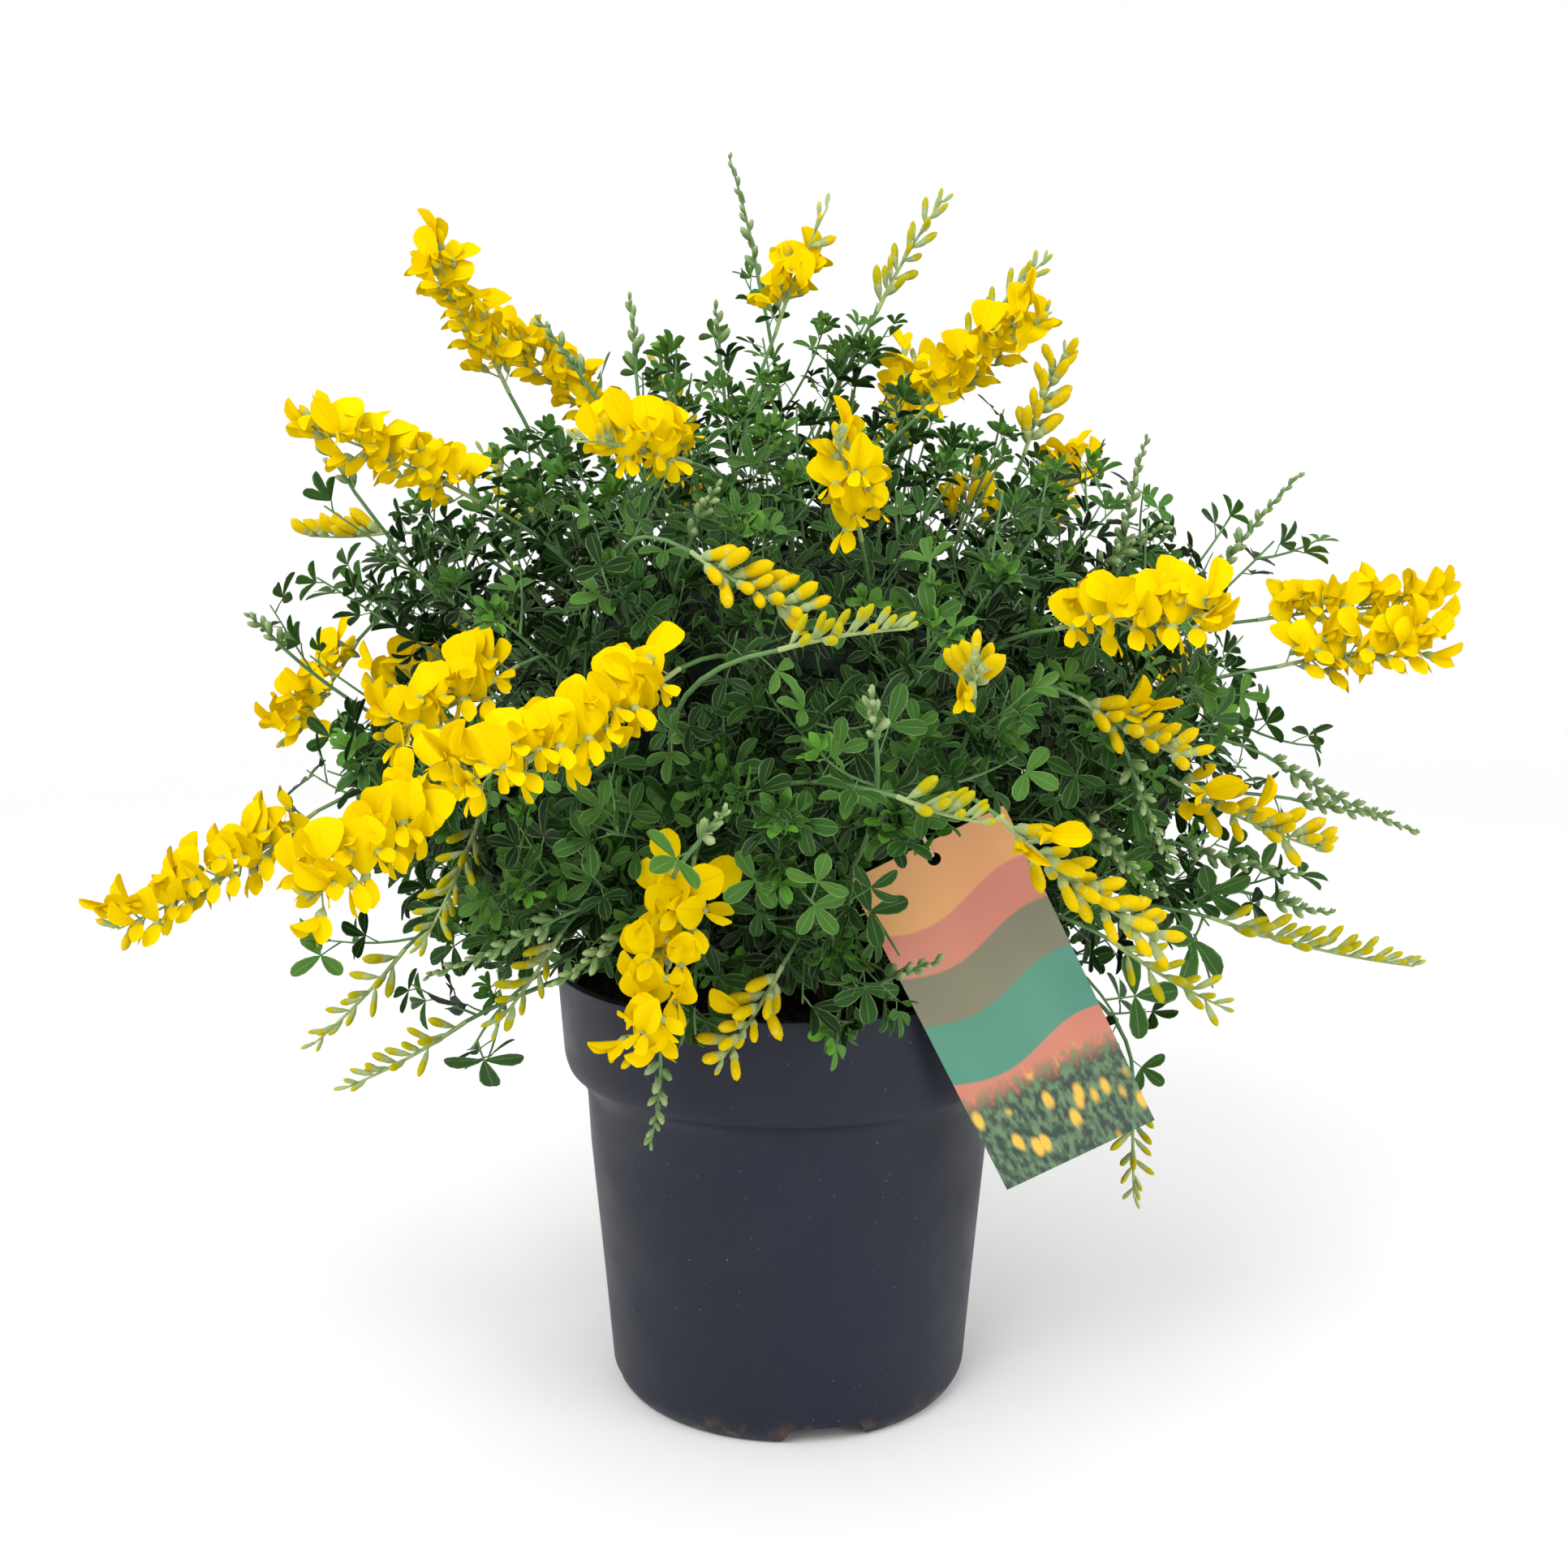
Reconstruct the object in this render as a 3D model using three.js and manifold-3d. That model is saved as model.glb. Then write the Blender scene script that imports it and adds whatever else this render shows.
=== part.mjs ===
// Broom shrub in a nursery pot: leafy shoots, yellow pea-flower racemes, bud spikes and a hang card.
// Millimetres, +Z up. The origin is the centre of the pot's foot, on the surface that it stands on.
// The front of the plant, with the card, faces -Y.
import * as THREE from "three";
import { mergeVertices } from "three/addons/utils/BufferGeometryUtils.js";
import Module from "manifold-3d";

const wasm = await Module();
wasm.setup();

// Pot
const POT_HEIGHT = 212;
const RIM_RADIUS = 115;
const BAND_RADIUS = 112;
const BAND_FOOT = 166;
const BODY_TOP_RADIUS = 101;
const BODY_TOP = 150;
const FOOT_RADIUS = 89.5;
const BASE_RADIUS = 85;
const WALL = 2.4;
const LIP = 4;
const POT_FACETS = 32;
const NOTCH_WIDTH = 46;
const NOTCH_TOP_WIDTH = 33;
const NOTCH_HEIGHT = 9;
const NOTCH_DEPTH = 26;
const NOTCH_COUNT = 4;
const NOTCH_TURN = 11.5;
const NOTCH_MARGIN = 2;

// Soil and woody stems
const GAP = 0.4;
const SOIL_TOP = 197;
const SOIL_FOOT = 3.8;
const STEM_RADIUS = 4.5;
const STEM_HEAD_RADIUS = 3.6;
const STEM_DEPTH = 34;
const STEM_RING = 24;
const STEM_COUNT = 5;
const STEM_TURN = 0.4;

// Crown of foliage: how far its shoots reach from its centre at each elevation in degrees, on the
// left and on the right; the front reaches less far
const CROWN = new THREE.Vector3(0, 0, 340);
const CROWN_PROFILE = [
  { elevation: -45, left: 188, right: 188 },
  { elevation: -30, left: 210, right: 206 },
  { elevation: -15, left: 230, right: 224 },
  { elevation: 0, left: 246, right: 243 },
  { elevation: 12, left: 250, right: 256 },
  { elevation: 25, left: 226, right: 234 },
  { elevation: 37, left: 200, right: 188 },
  { elevation: 48, left: 196, right: 190 },
  { elevation: 60, left: 182, right: 172 },
  { elevation: 75, left: 192, right: 180 },
  { elevation: 90, left: 190, right: 190 },
];
const CROWN_FRONT_SHARE = 0.88;
const CORE_CENTRE = new THREE.Vector3(0, 0, 320);
const CORE_RADIUS = 142;
const CORE_HALF_HEIGHT = 100;
const SHOOT_RADIUS = 2.1;
const SHOOT_TIP_RADIUS = 1.3;
const SHOOT_BEND = 16;
const SHOOT_ROOT = 0.7;
const SHOOT_COUNT = 52;
const SHOOT_HIGHEST = 0.97;
const SHOOT_LOWEST = -0.64;
const SHOOT_NEAREST = 0.88;
const SHOOT_FURTHEST = 0.96;
const LEAF_SIZE = 29;
const LEAF_THICKNESS = 1.7;
const LEAF_SPACING = 32;
const LEAF_LEAN = 58;

// Racemes
const STALK_RADIUS = 1.5;
const STALK_TIP_RADIUS = 0.8;
const FLOWER_SIZE = 15;
const FLOWER_PITCH = 9;
const FLOWER_LEAN = 62;
const OPEN_REACH = 17;
const OPEN_SHARE = 0.82;
const BUD_SIZE = 12.6;
const BUD_PITCH = 9.5;
const BUD_LEAN = 44;
const BUD_REACH = 9;
const BARE_STALK = 0.13;
const SPIKE_RADIUS = 2.8;
const LONG_SPIKE = 45;
const GOLDEN_ANGLE = 2.39996;

// Hang card and the loop that ties it to a twig
const CARD_WIDTH = 74;
const CARD_LENGTH = 166;
const CARD_THICKNESS = 0.8;
const CARD_HOLE_INSET = 8;
const CARD_ROOM = 12;
const CARD_HOLE_RADIUS = 3;
const CARD_HOLE = new THREE.Vector3(62.5, -112, 284);
const CARD_FOOT = new THREE.Vector3(133, -92, 142.5);
const LOOP_RADIUS = 3;
const LOOP_LENGTH = 24;
const LOOP_WIRE = 0.9;
const TWIG_RADIUS = 1.6;
const TWIG_LEFT = 14;
const TWIG_RIGHT = 22;

// Racemes in open flower, from where the stalk leaves its shoot to the tip
const OPEN_RACEMES = [
  [[-134, 0, 490], [-165, -30, 552]],
  [[-91, 50, 479], [-142, 40, 520]],
  [[-139, -60, 437], [-203, -90, 467]],
  [[-41, -120, 452], [-81, -190, 457]],
  [[-6, -45, 513], [17, -55, 566]],
  [[59, -30, 476], [116, -60, 520]],
  [[29, -140, 420], [17, -190, 461]],
  [[231, 10, 381], [318, 10, 387]],
  [[226, -45, 362], [290, -58, 372]],
  [[107, -150, 385], [159, -190, 392]],
  [[-42, -190, 372], [-115, -262, 337]],
  [[-114, -120, 368], [-164, -150, 342]],
  [[-132, -170, 330], [-176, -230, 290]],
  [[-220, -50, 295], [-300, -90, 248]],
  [[-38, -165, 295], [-61, -175, 217]],
  [[-225, 60, 368], [-268, 70, 315]],
];

// Racemes in yellow bud
const BUD_RACEMES = [
  [[43, 20, 530], [75, 30, 584]],
  [[85, 10, 511], [123, 10, 553]],
  [[116, 20, 462], [138, 40, 513]],
  [[119, -140, 356], [154, -170, 336]],
  [[168, -90, 316], [225, -120, 290]],
  [[193, -70, 249], [280, -90, 231]],
  [[141, -110, 247], [185, -130, 223]],
  [[80, -200, 316], [143, -190, 266]],
  [[39, -225, 328], [70, -250, 322]],
  [[-38, -180, 416], [3, -200, 394]],
  [[-4, -235, 382], [40, -265, 391]],
  [[68, -210, 363], [65, -235, 376]],
  [[-134, -110, 301], [-156, -130, 250]],
  [[-172, -90, 239], [-209, -110, 201]],
  [[-142, -110, 211], [-187, -140, 191]],
  [[-97, -130, 255], [-122, -150, 221]],
  [[-3, -145, 245], [-28, -155, 208]],
  [[166, -40, 163], [166, -50, 107]],
  [[-207, 60, 424], [-249, 70, 422]],
  [[88, 60, 422], [97, 70, 452]],
];

// Green bud spikes, which are one body with the shoots that they end
const GREEN_SPIKES = [
  [[-91, -60, 490], [-110, -70, 516]],
  [[-199, -40, 441], [-222, -55, 478]],
  [[-14, 0, 540], [-28, -10, 597]],
  [[167, 30, 410], [180, 40, 471]],
  [[208, 0, 403], [246, 0, 451]],
  [[142, -40, 407], [169, -60, 426]],
  [[139, -140, 333], [156, -160, 289]],
  [[235, 0, 315], [311, 0, 277]],
  [[257, 30, 289], [308, 30, 281]],
  [[181, -50, 280], [236, -60, 267]],
  [[232, -20, 248], [264, -20, 240]],
  [[126, -124, 300], [152, -150, 276]],
  [[-94, -150, 267], [-144, -180, 249]],
  [[-67, -160, 262], [-95, -175, 244]],
  [[-55, -130, 202], [-60, -130, 162]],
  [[-241, -20, 369], [-254, -30, 385]],
  [[-73, 0, 499], [-76, 0, 534]],
  [[-35, 50, 516], [-37, 50, 536]],
  [[-40, -150, 419], [-28, -170, 441]],
  [[31, -230, 347], [28, -250, 368]],
  [[-34, -220, 310], [-23, -240, 325]],
  [[40, -140, 237], [61, -155, 249]],
];

// The side away from the card repeats the same mix by rule: rows of azimuths at each elevation,
// each raceme with its base on a smooth round shell inside the crown
const BACK_ROWS = [
  { elevation: 52, azimuths: [62, 118] },
  { elevation: 30, azimuths: [40, 76, 108, 142] },
  { elevation: 6, azimuths: [30, 58, 92, 124, 152] },
  { elevation: -14, azimuths: [44, 76, 108, 138] },
];
const BACK_LENGTH = 66;
const BACK_RADIUS = 198;
const BACK_ABOVE = 155;
const BACK_BELOW = 108;

const MATERIALS = {
  pot: new THREE.MeshStandardMaterial({ color: 0x353a44, roughness: 0.6, metalness: 0 }),
  soil: new THREE.MeshStandardMaterial({ color: 0x2b1f17, roughness: 1, metalness: 0 }),
  foliage: new THREE.MeshStandardMaterial({ color: 0x2f6b34, roughness: 0.6, metalness: 0 }),
  petal: new THREE.MeshStandardMaterial({ color: 0xf7d117, roughness: 0.5, metalness: 0 }),
  bud: new THREE.MeshStandardMaterial({ color: 0xd6c234, roughness: 0.6, metalness: 0 }),
  card: new THREE.MeshStandardMaterial({ color: 0x7fa88a, roughness: 0.35, metalness: 0 }),
  loop: new THREE.MeshStandardMaterial({ color: 0xe8e2d4, roughness: 0.5, metalness: 0 }),
};

const UP = new THREE.Vector3(0, 0, 1);
const radians = THREE.MathUtils.degToRad;

function seeded(seed) {
  let state = seed;
  return () => {
    state = (state + 0x6d2b79f5) | 0;
    let t = Math.imul(state ^ (state >>> 15), 1 | state);
    t = (t + Math.imul(t ^ (t >>> 7), 61 | t)) ^ t;
    return ((t ^ (t >>> 14)) >>> 0) / 4294967296;
  };
}

// Joins and cuts

function closedGeometry(points, faces) {
  const geometry = new THREE.BufferGeometry();
  const numbers = points.flatMap((p) => [p.x, p.y, p.z]);
  geometry.setAttribute("position", new THREE.Float32BufferAttribute(numbers, 3));
  geometry.setIndex(faces);
  return geometry;
}

function solid(geometry) {
  const bare = geometry.clone();
  bare.deleteAttribute("normal");
  bare.deleteAttribute("uv");
  const merged = mergeVertices(bare, 1e-4);
  return new wasm.Manifold(new wasm.Mesh({
    numProp: 3,
    vertProperties: new Float32Array(merged.attributes.position.array),
    triVerts: new Uint32Array(merged.index.array),
  }));
}

function geometryOf(body) {
  const cut = body.getMesh();
  const geometry = new THREE.BufferGeometry();
  geometry.setAttribute("position", new THREE.BufferAttribute(cut.vertProperties, 3));
  geometry.setIndex(new THREE.BufferAttribute(cut.triVerts, 1));
  return geometry;
}

function fuse(geometries) {
  return geometries.map(solid).reduce((body, next) => body.add(next));
}

function named(name, geometry, material) {
  const mesh = new THREE.Mesh(geometry, material);
  mesh.name = name;
  return mesh;
}

// Growing shapes: every one is a closed loft or a double fan

function frameAlong(direction) {
  const ahead = direction.clone().normalize();
  const reference = Math.abs(ahead.z) < 0.9 ? UP : new THREE.Vector3(1, 0, 0);
  const side = new THREE.Vector3().crossVectors(reference, ahead).normalize();
  const over = new THREE.Vector3().crossVectors(ahead, side);
  return { ahead, side, over };
}

function ring(centre, frame, radius, sides, phase = 0) {
  return Array.from({ length: sides }, (_, i) => {
    const angle = phase + (2 * Math.PI * i) / sides;
    return centre.clone()
      .addScaledVector(frame.side, radius * Math.cos(angle))
      .addScaledVector(frame.over, radius * Math.sin(angle));
  });
}

function loft(rings) {
  const sides = rings[0].length;
  const faces = [];
  for (let k = 0; k + 1 < rings.length; k += 1) {
    for (let i = 0; i < sides; i += 1) {
      const a = k * sides + i;
      const b = k * sides + ((i + 1) % sides);
      faces.push(a, b, b + sides);
      faces.push(a, b + sides, a + sides);
    }
  }
  const last = (rings.length - 1) * sides;
  for (let i = 1; i + 1 < sides; i += 1) {
    faces.push(0, i + 1, i);
    faces.push(last, last + i, last + i + 1);
  }
  return closedGeometry(rings.flat(), faces);
}

function taperedRod(points, startRadius, endRadius, sides = 3) {
  const last = points.length - 1;
  const rings = points.map((point, k) => {
    const before = points[Math.max(k - 1, 0)];
    const after = points[Math.min(k + 1, last)];
    const frame = frameAlong(after.clone().sub(before));
    return ring(point, frame, THREE.MathUtils.lerp(startRadius, endRadius, k / last), sides);
  });
  return loft(rings);
}

// The outline runs counterclockwise as seen from the front point's side
function doubleFan(outline, front, back) {
  const n = outline.length;
  const faces = [];
  for (let i = 0; i < n; i += 1) {
    const j = (i + 1) % n;
    faces.push(i, j, n);
    faces.push(j, i, n + 1);
  }
  return closedGeometry([...outline, front, back], faces);
}

// A leaf of three leaflets in one thin blade, its petiole sunk into the stem at root
function trifoliateLeaf(root, heading, normal, size) {
  const over = normal.clone().addScaledVector(heading, -normal.dot(heading)).normalize();
  const left = new THREE.Vector3().crossVectors(over, heading);
  const centre = root.clone().addScaledVector(heading, 0.55 * size);
  const outline = [];
  const point = (degrees, reach, lift) => outline.push(centre.clone()
    .addScaledVector(heading, reach * size * Math.cos(radians(degrees)))
    .addScaledVector(left, reach * size * Math.sin(radians(degrees)))
    .addScaledVector(over, lift * size));
  for (const [turn, length] of [[0, 1], [88, 0.9]]) {
    if (turn > 0) point(turn - 15, length, 0.08);
    point(turn + 15, length, 0.08);
    point(turn + 50, 0.14, 0);
  }
  point(180, 0.64, -0.04);
  point(-138, 0.14, 0);
  point(-103, 0.9, 0.08);
  point(-73, 0.9, 0.08);
  point(-42, 0.14, 0);
  point(-15, 1, 0.08);
  const half = LEAF_THICKNESS / 2;
  return doubleFan(outline, centre.clone().addScaledVector(over, half),
    centre.clone().addScaledVector(over, -half));
}

// A pea flower that faces away from the plant: banner round the rim, keel and wings as the raised
// middle, and a pedicel sunk into the stalk at root
const FLOWER_OUTLINE = [
  [0, 0.62], [44, 0.66], [92, 0.56], [136, 0.26], [180, 0.62], [224, 0.26], [268, 0.56], [316, 0.66],
];

function peaFlower(root, heading, size) {
  const outward = root.clone().sub(CROWN).normalize();
  const facing = outward.addScaledVector(heading, -outward.dot(heading));
  if (facing.length() < 0.3) facing.copy(frameAlong(heading).over);
  facing.normalize();
  const left = new THREE.Vector3().crossVectors(facing, heading);
  const centre = root.clone().addScaledVector(heading, 0.58 * size);
  const outline = FLOWER_OUTLINE.map(([degrees, reach]) => centre.clone()
    .addScaledVector(heading, size * reach * Math.cos(radians(degrees)))
    .addScaledVector(left, size * reach * Math.sin(radians(degrees))));
  const keel = centre.clone().addScaledVector(facing, 0.34 * size);
  return doubleFan(outline, keel, centre.clone().addScaledVector(facing, -0.1 * size));
}

function closedBud(root, heading, length) {
  const frame = frameAlong(heading);
  const waist = root.clone().addScaledVector(heading, 0.55 * length);
  const outline = ring(waist, frame, 0.24 * length, 3);
  return doubleFan(outline, root.clone().addScaledVector(heading, length),
    root.clone().addScaledVector(heading, -0.08 * length));
}

function aroundAxis(frame, turn, lean) {
  return frame.ahead.clone().multiplyScalar(Math.cos(lean))
    .addScaledVector(frame.side, Math.sin(lean) * Math.cos(turn))
    .addScaledVector(frame.over, Math.sin(lean) * Math.sin(turn));
}

// Flowers or buds spiral up the stalk, smaller towards its tip
function raceme(base, tip, open, turn) {
  const frame = frameAlong(tip.clone().sub(base));
  const flowering = (1 - BARE_STALK) * base.distanceTo(tip);
  const count = Math.round(flowering / (open ? FLOWER_PITCH : BUD_PITCH));
  const pieces = [taperedRod([base, tip], STALK_RADIUS, STALK_TIP_RADIUS)];
  for (let i = 0; i < count; i += 1) {
    const along = THREE.MathUtils.lerp(BARE_STALK, 0.98, (i + 0.5) / count);
    const root = base.clone().lerp(tip, along);
    const angle = turn + i * GOLDEN_ANGLE;
    const young = Math.max(0, along - 0.7);
    if (open && along < OPEN_SHARE) {
      const heading = aroundAxis(frame, angle, radians(FLOWER_LEAN));
      pieces.push(peaFlower(root, heading, FLOWER_SIZE * (1 - 0.5 * young)));
    } else {
      const heading = aroundAxis(frame, angle, radians(BUD_LEAN));
      pieces.push(closedBud(root, heading, BUD_SIZE * (1 - young)));
    }
  }
  return geometryOf(fuse(pieces));
}

// Overlapping scales are raised on the spike by turning every other ring half a step
function budSpike(base, tip) {
  const frame = frameAlong(tip.clone().sub(base));
  const bands = base.distanceTo(tip) > LONG_SPIKE ? 5 : 3;
  const rings = [];
  for (let k = 0; k <= bands; k += 1) {
    const along = k / bands;
    const swell = k % 2 === 0 ? 0.55 : 1;
    const radius = SPIKE_RADIUS * swell * (1 - 0.55 * along);
    rings.push(ring(base.clone().lerp(tip, along), frame, radius, 4, (k % 2) * (Math.PI / 4)));
  }
  return loft(rings);
}

// Places round the crown

function crownDirection(azimuth, elevation) {
  return new THREE.Vector3(Math.cos(elevation) * Math.cos(azimuth),
    Math.cos(elevation) * Math.sin(azimuth), Math.sin(elevation));
}

function crownReach(direction) {
  const elevation = THREE.MathUtils.radToDeg(Math.asin(direction.z));
  const row = Math.max(1, CROWN_PROFILE.findIndex((entry) => entry.elevation >= elevation));
  const [below, above] = CROWN_PROFILE.slice(row - 1, row + 1);
  const along = (elevation - below.elevation) / (above.elevation - below.elevation);
  const left = THREE.MathUtils.lerp(below.left, above.left, along);
  const right = THREE.MathUtils.lerp(below.right, above.right, along);
  const flat = new THREE.Vector2(direction.x, direction.y).normalize();
  const frontness = Math.max(0, -flat.y) * Math.cos(radians(elevation));
  const reach = THREE.MathUtils.lerp(left, right, (1 + flat.x) / 2);
  return reach * (1 - (1 - CROWN_FRONT_SHARE) * frontness);
}

function backBase(direction) {
  const height = direction.z > 0 ? BACK_ABOVE : BACK_BELOW;
  const away = direction.clone().multiply(new THREE.Vector3(BACK_RADIUS, BACK_RADIUS, height));
  return CROWN.clone().add(away);
}

function backRacemes() {
  const racemes = [];
  for (const row of BACK_ROWS) {
    for (const azimuth of row.azimuths) {
      const outward = crownDirection(radians(azimuth), radians(row.elevation));
      const base = backBase(outward);
      const rise = row.elevation > 20 ? 0.5 : -0.35;
      const heading = outward.clone().add(new THREE.Vector3(0, 0, rise)).normalize();
      const tip = base.clone().addScaledVector(heading, BACK_LENGTH);
      racemes.push({ base, tip, open: racemes.length % 2 === 0 });
    }
  }
  return racemes;
}

function placed(list, open) {
  return list.map(([base, tip]) => ({
    base: new THREE.Vector3(...base), tip: new THREE.Vector3(...tip), open,
  }));
}

const racemes = [
  ...placed(OPEN_RACEMES, true), ...placed(BUD_RACEMES, false), ...backRacemes(),
];
const spikes = placed(GREEN_SPIKES, false);

// The card hangs from its hole, long edge along cardUp, printed face towards the front

const cardUp = CARD_HOLE.clone().sub(CARD_FOOT).normalize();
const cardAcross = new THREE.Vector3(0, -1, 0).cross(cardUp).negate().normalize();
const cardFace = new THREE.Vector3().crossVectors(cardAcross, cardUp);
const loopFoot = CARD_HOLE.clone()
  .addScaledVector(cardUp, CARD_HOLE_RADIUS - LOOP_WIRE - 0.3);
const twigCentre = loopFoot.clone()
  .addScaledVector(cardUp, LOOP_LENGTH - LOOP_WIRE - 0.3 - TWIG_RADIUS);

function cardGeometry() {
  const outline = new THREE.Shape();
  const top = CARD_HOLE_INSET;
  outline.moveTo(-CARD_WIDTH / 2, top - CARD_LENGTH);
  outline.lineTo(CARD_WIDTH / 2, top - CARD_LENGTH);
  outline.lineTo(CARD_WIDTH / 2, top);
  outline.lineTo(-CARD_WIDTH / 2, top);
  const hole = new THREE.Path();
  hole.absarc(0, 0, CARD_HOLE_RADIUS, 0, 2 * Math.PI, true);
  outline.holes.push(hole);
  const geometry = new THREE.ExtrudeGeometry(outline,
    { depth: CARD_THICKNESS, bevelEnabled: false, curveSegments: 8 });
  geometry.translate(0, 0, -CARD_THICKNESS / 2);
  const placing = new THREE.Matrix4().makeBasis(cardAcross, cardUp, cardFace);
  geometry.applyMatrix4(placing.setPosition(CARD_HOLE));
  return geometry;
}

function loopGeometry() {
  const steps = 6;
  const path = [];
  const point = (out, up) => path.push(loopFoot.clone()
    .addScaledVector(cardFace, out).addScaledVector(cardUp, up));
  for (let i = 0; i <= steps; i += 1) {
    const angle = (Math.PI * i) / steps;
    point(LOOP_RADIUS * Math.cos(angle), LOOP_RADIUS - LOOP_RADIUS * Math.sin(angle));
  }
  for (let i = 0; i <= steps; i += 1) {
    const angle = (Math.PI * i) / steps;
    point(-LOOP_RADIUS * Math.cos(angle),
      LOOP_LENGTH - LOOP_RADIUS + LOOP_RADIUS * Math.sin(angle));
  }
  return closedRing(path, cardAcross, LOOP_WIRE, 5);
}

// A tube round a closed flat path whose plane has the given normal
function closedRing(path, normal, radius, sides) {
  const n = path.length;
  const points = path.flatMap((centre, k) => {
    const ahead = path[(k + 1) % n].clone().sub(path[(k + n - 1) % n]).normalize();
    const over = new THREE.Vector3().crossVectors(ahead, normal);
    return ring(centre, { side: normal, over }, radius, sides);
  });
  const faces = [];
  for (let k = 0; k < n; k += 1) {
    for (let i = 0; i < sides; i += 1) {
      const a = k * sides + i;
      const b = k * sides + ((i + 1) % sides);
      const c = ((k + 1) % n) * sides + ((i + 1) % sides);
      const d = ((k + 1) % n) * sides + i;
      faces.push(a, b, c);
      faces.push(a, c, d);
    }
  }
  return closedGeometry(points, faces);
}

// Pot and soil

function lathe(profile) {
  const points = profile.map(([radius, height]) => new THREE.Vector2(radius, height));
  const geometry = new THREE.LatheGeometry(points, POT_FACETS);
  geometry.rotateX(Math.PI / 2);
  return geometry;
}

function innerRadius(height) {
  if (height > BODY_TOP) {
    const along = (height - BODY_TOP) / (POT_HEIGHT - BODY_TOP);
    return THREE.MathUtils.lerp(BODY_TOP_RADIUS - WALL, RIM_RADIUS - LIP, along);
  }
  const along = height / BODY_TOP;
  return THREE.MathUtils.lerp(FOOT_RADIUS - WALL - 1, BODY_TOP_RADIUS - WALL, along);
}

function potGeometry() {
  const shell = solid(lathe([
    [0, 0],
    [BASE_RADIUS, 0],
    [FOOT_RADIUS, 7],
    [FOOT_RADIUS + 4, 55],
    [BODY_TOP_RADIUS - 1.4, 123],
    [BODY_TOP_RADIUS, BODY_TOP],
    [BODY_TOP_RADIUS + 3, BAND_FOOT - 8],
    [BAND_RADIUS - 2, BAND_FOOT - 3],
    [BAND_RADIUS, BAND_FOOT + 3],
    [RIM_RADIUS, POT_HEIGHT - 3],
    [RIM_RADIUS - 0.6, POT_HEIGHT],
    [innerRadius(POT_HEIGHT), POT_HEIGHT],
    [innerRadius(BODY_TOP), BODY_TOP],
    [innerRadius(WALL + 1), WALL + 1],
    [0, WALL + 1],
  ]));
  let pot = shell;
  for (let k = 0; k < NOTCH_COUNT; k += 1) {
    pot = pot.subtract(notch(notchAngle(k), 0));
  }
  return geometryOf(pot);
}

function notchAngle(k) {
  return radians(-90 + NOTCH_TURN + (360 * k) / NOTCH_COUNT);
}

// A drain notch in the foot, narrower at its top, and larger all round by the margin
function notch(angle, margin) {
  const outline = new THREE.Shape();
  const top = NOTCH_HEIGHT + margin;
  outline.moveTo(-NOTCH_WIDTH / 2 - margin, -5);
  outline.lineTo(NOTCH_WIDTH / 2 + margin, -5);
  outline.lineTo(NOTCH_TOP_WIDTH / 2 + margin, top);
  outline.lineTo(-NOTCH_TOP_WIDTH / 2 - margin, top);
  const depth = NOTCH_DEPTH + margin;
  const geometry = new THREE.ExtrudeGeometry(outline, { depth, bevelEnabled: false });
  geometry.rotateX(Math.PI / 2);
  geometry.rotateZ(Math.PI / 2 + angle);
  const inside = FOOT_RADIUS + 4 - depth;
  geometry.translate(inside * Math.cos(angle), inside * Math.sin(angle), 0);
  return solid(geometry);
}

function stemPath(k) {
  const angle = (2 * Math.PI * k) / STEM_COUNT + STEM_TURN;
  const outward = new THREE.Vector3(Math.cos(angle), Math.sin(angle), 0);
  const foot = outward.clone().multiplyScalar(STEM_RING);
  foot.z = SOIL_TOP - STEM_DEPTH;
  const neck = foot.clone().setZ(SOIL_TOP + 8);
  const head = outward.clone().multiplyScalar(2 * STEM_RING);
  head.z = CORE_CENTRE.z - 0.6 * CORE_HALF_HEIGHT;
  return [foot, neck, head];
}

function soilGeometry() {
  let soil = solid(lathe([
    [0, SOIL_FOOT],
    [innerRadius(SOIL_FOOT) - 1.5, SOIL_FOOT],
    [innerRadius(BODY_TOP) - 1, BODY_TOP],
    [innerRadius(SOIL_TOP) - 1, SOIL_TOP - 3],
    [0, SOIL_TOP],
  ]));
  for (let k = 0; k < STEM_COUNT; k += 1) {
    const [foot, neck] = stemPath(k);
    const floor = foot.clone().setZ(foot.z - GAP);
    const radius = STEM_RADIUS + GAP + 0.2;
    soil = soil.subtract(solid(taperedRod([floor, neck], radius, radius, 6)));
  }
  for (let k = 0; k < NOTCH_COUNT; k += 1) {
    soil = soil.subtract(notch(notchAngle(k), NOTCH_MARGIN));
  }
  return geometryOf(soil);
}

// Foliage

// The dense middle of the crown, dented behind the card
function coreGeometry() {
  const geometry = new THREE.IcosahedronGeometry(1, 2);
  const position = geometry.attributes.position;
  const point = new THREE.Vector3();
  for (let i = 0; i < position.count; i += 1) {
    point.fromBufferAttribute(position, i).normalize();
    const lump = 1 + 0.07 * Math.sin(5 * point.x + 2) * Math.sin(6 * point.y) +
      0.04 * Math.sin(9 * point.z + 4 * point.x);
    position.setXYZ(i, CORE_CENTRE.x + point.x * CORE_RADIUS * lump,
      CORE_CENTRE.y + point.y * CORE_RADIUS * lump,
      CORE_CENTRE.z + point.z * CORE_HALF_HEIGHT * lump);
  }
  const room = new THREE.BoxGeometry(CARD_WIDTH + 2 * CARD_ROOM, CARD_LENGTH + 4 * CARD_ROOM,
    2 * CARD_ROOM);
  room.translate(0, CARD_HOLE_INSET + 2 * CARD_ROOM - CARD_LENGTH / 2, 0);
  const placing = new THREE.Matrix4().makeBasis(cardAcross, cardUp, cardFace);
  room.applyMatrix4(placing.setPosition(CARD_HOLE));
  return geometryOf(solid(geometry).subtract(solid(room)));
}

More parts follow.
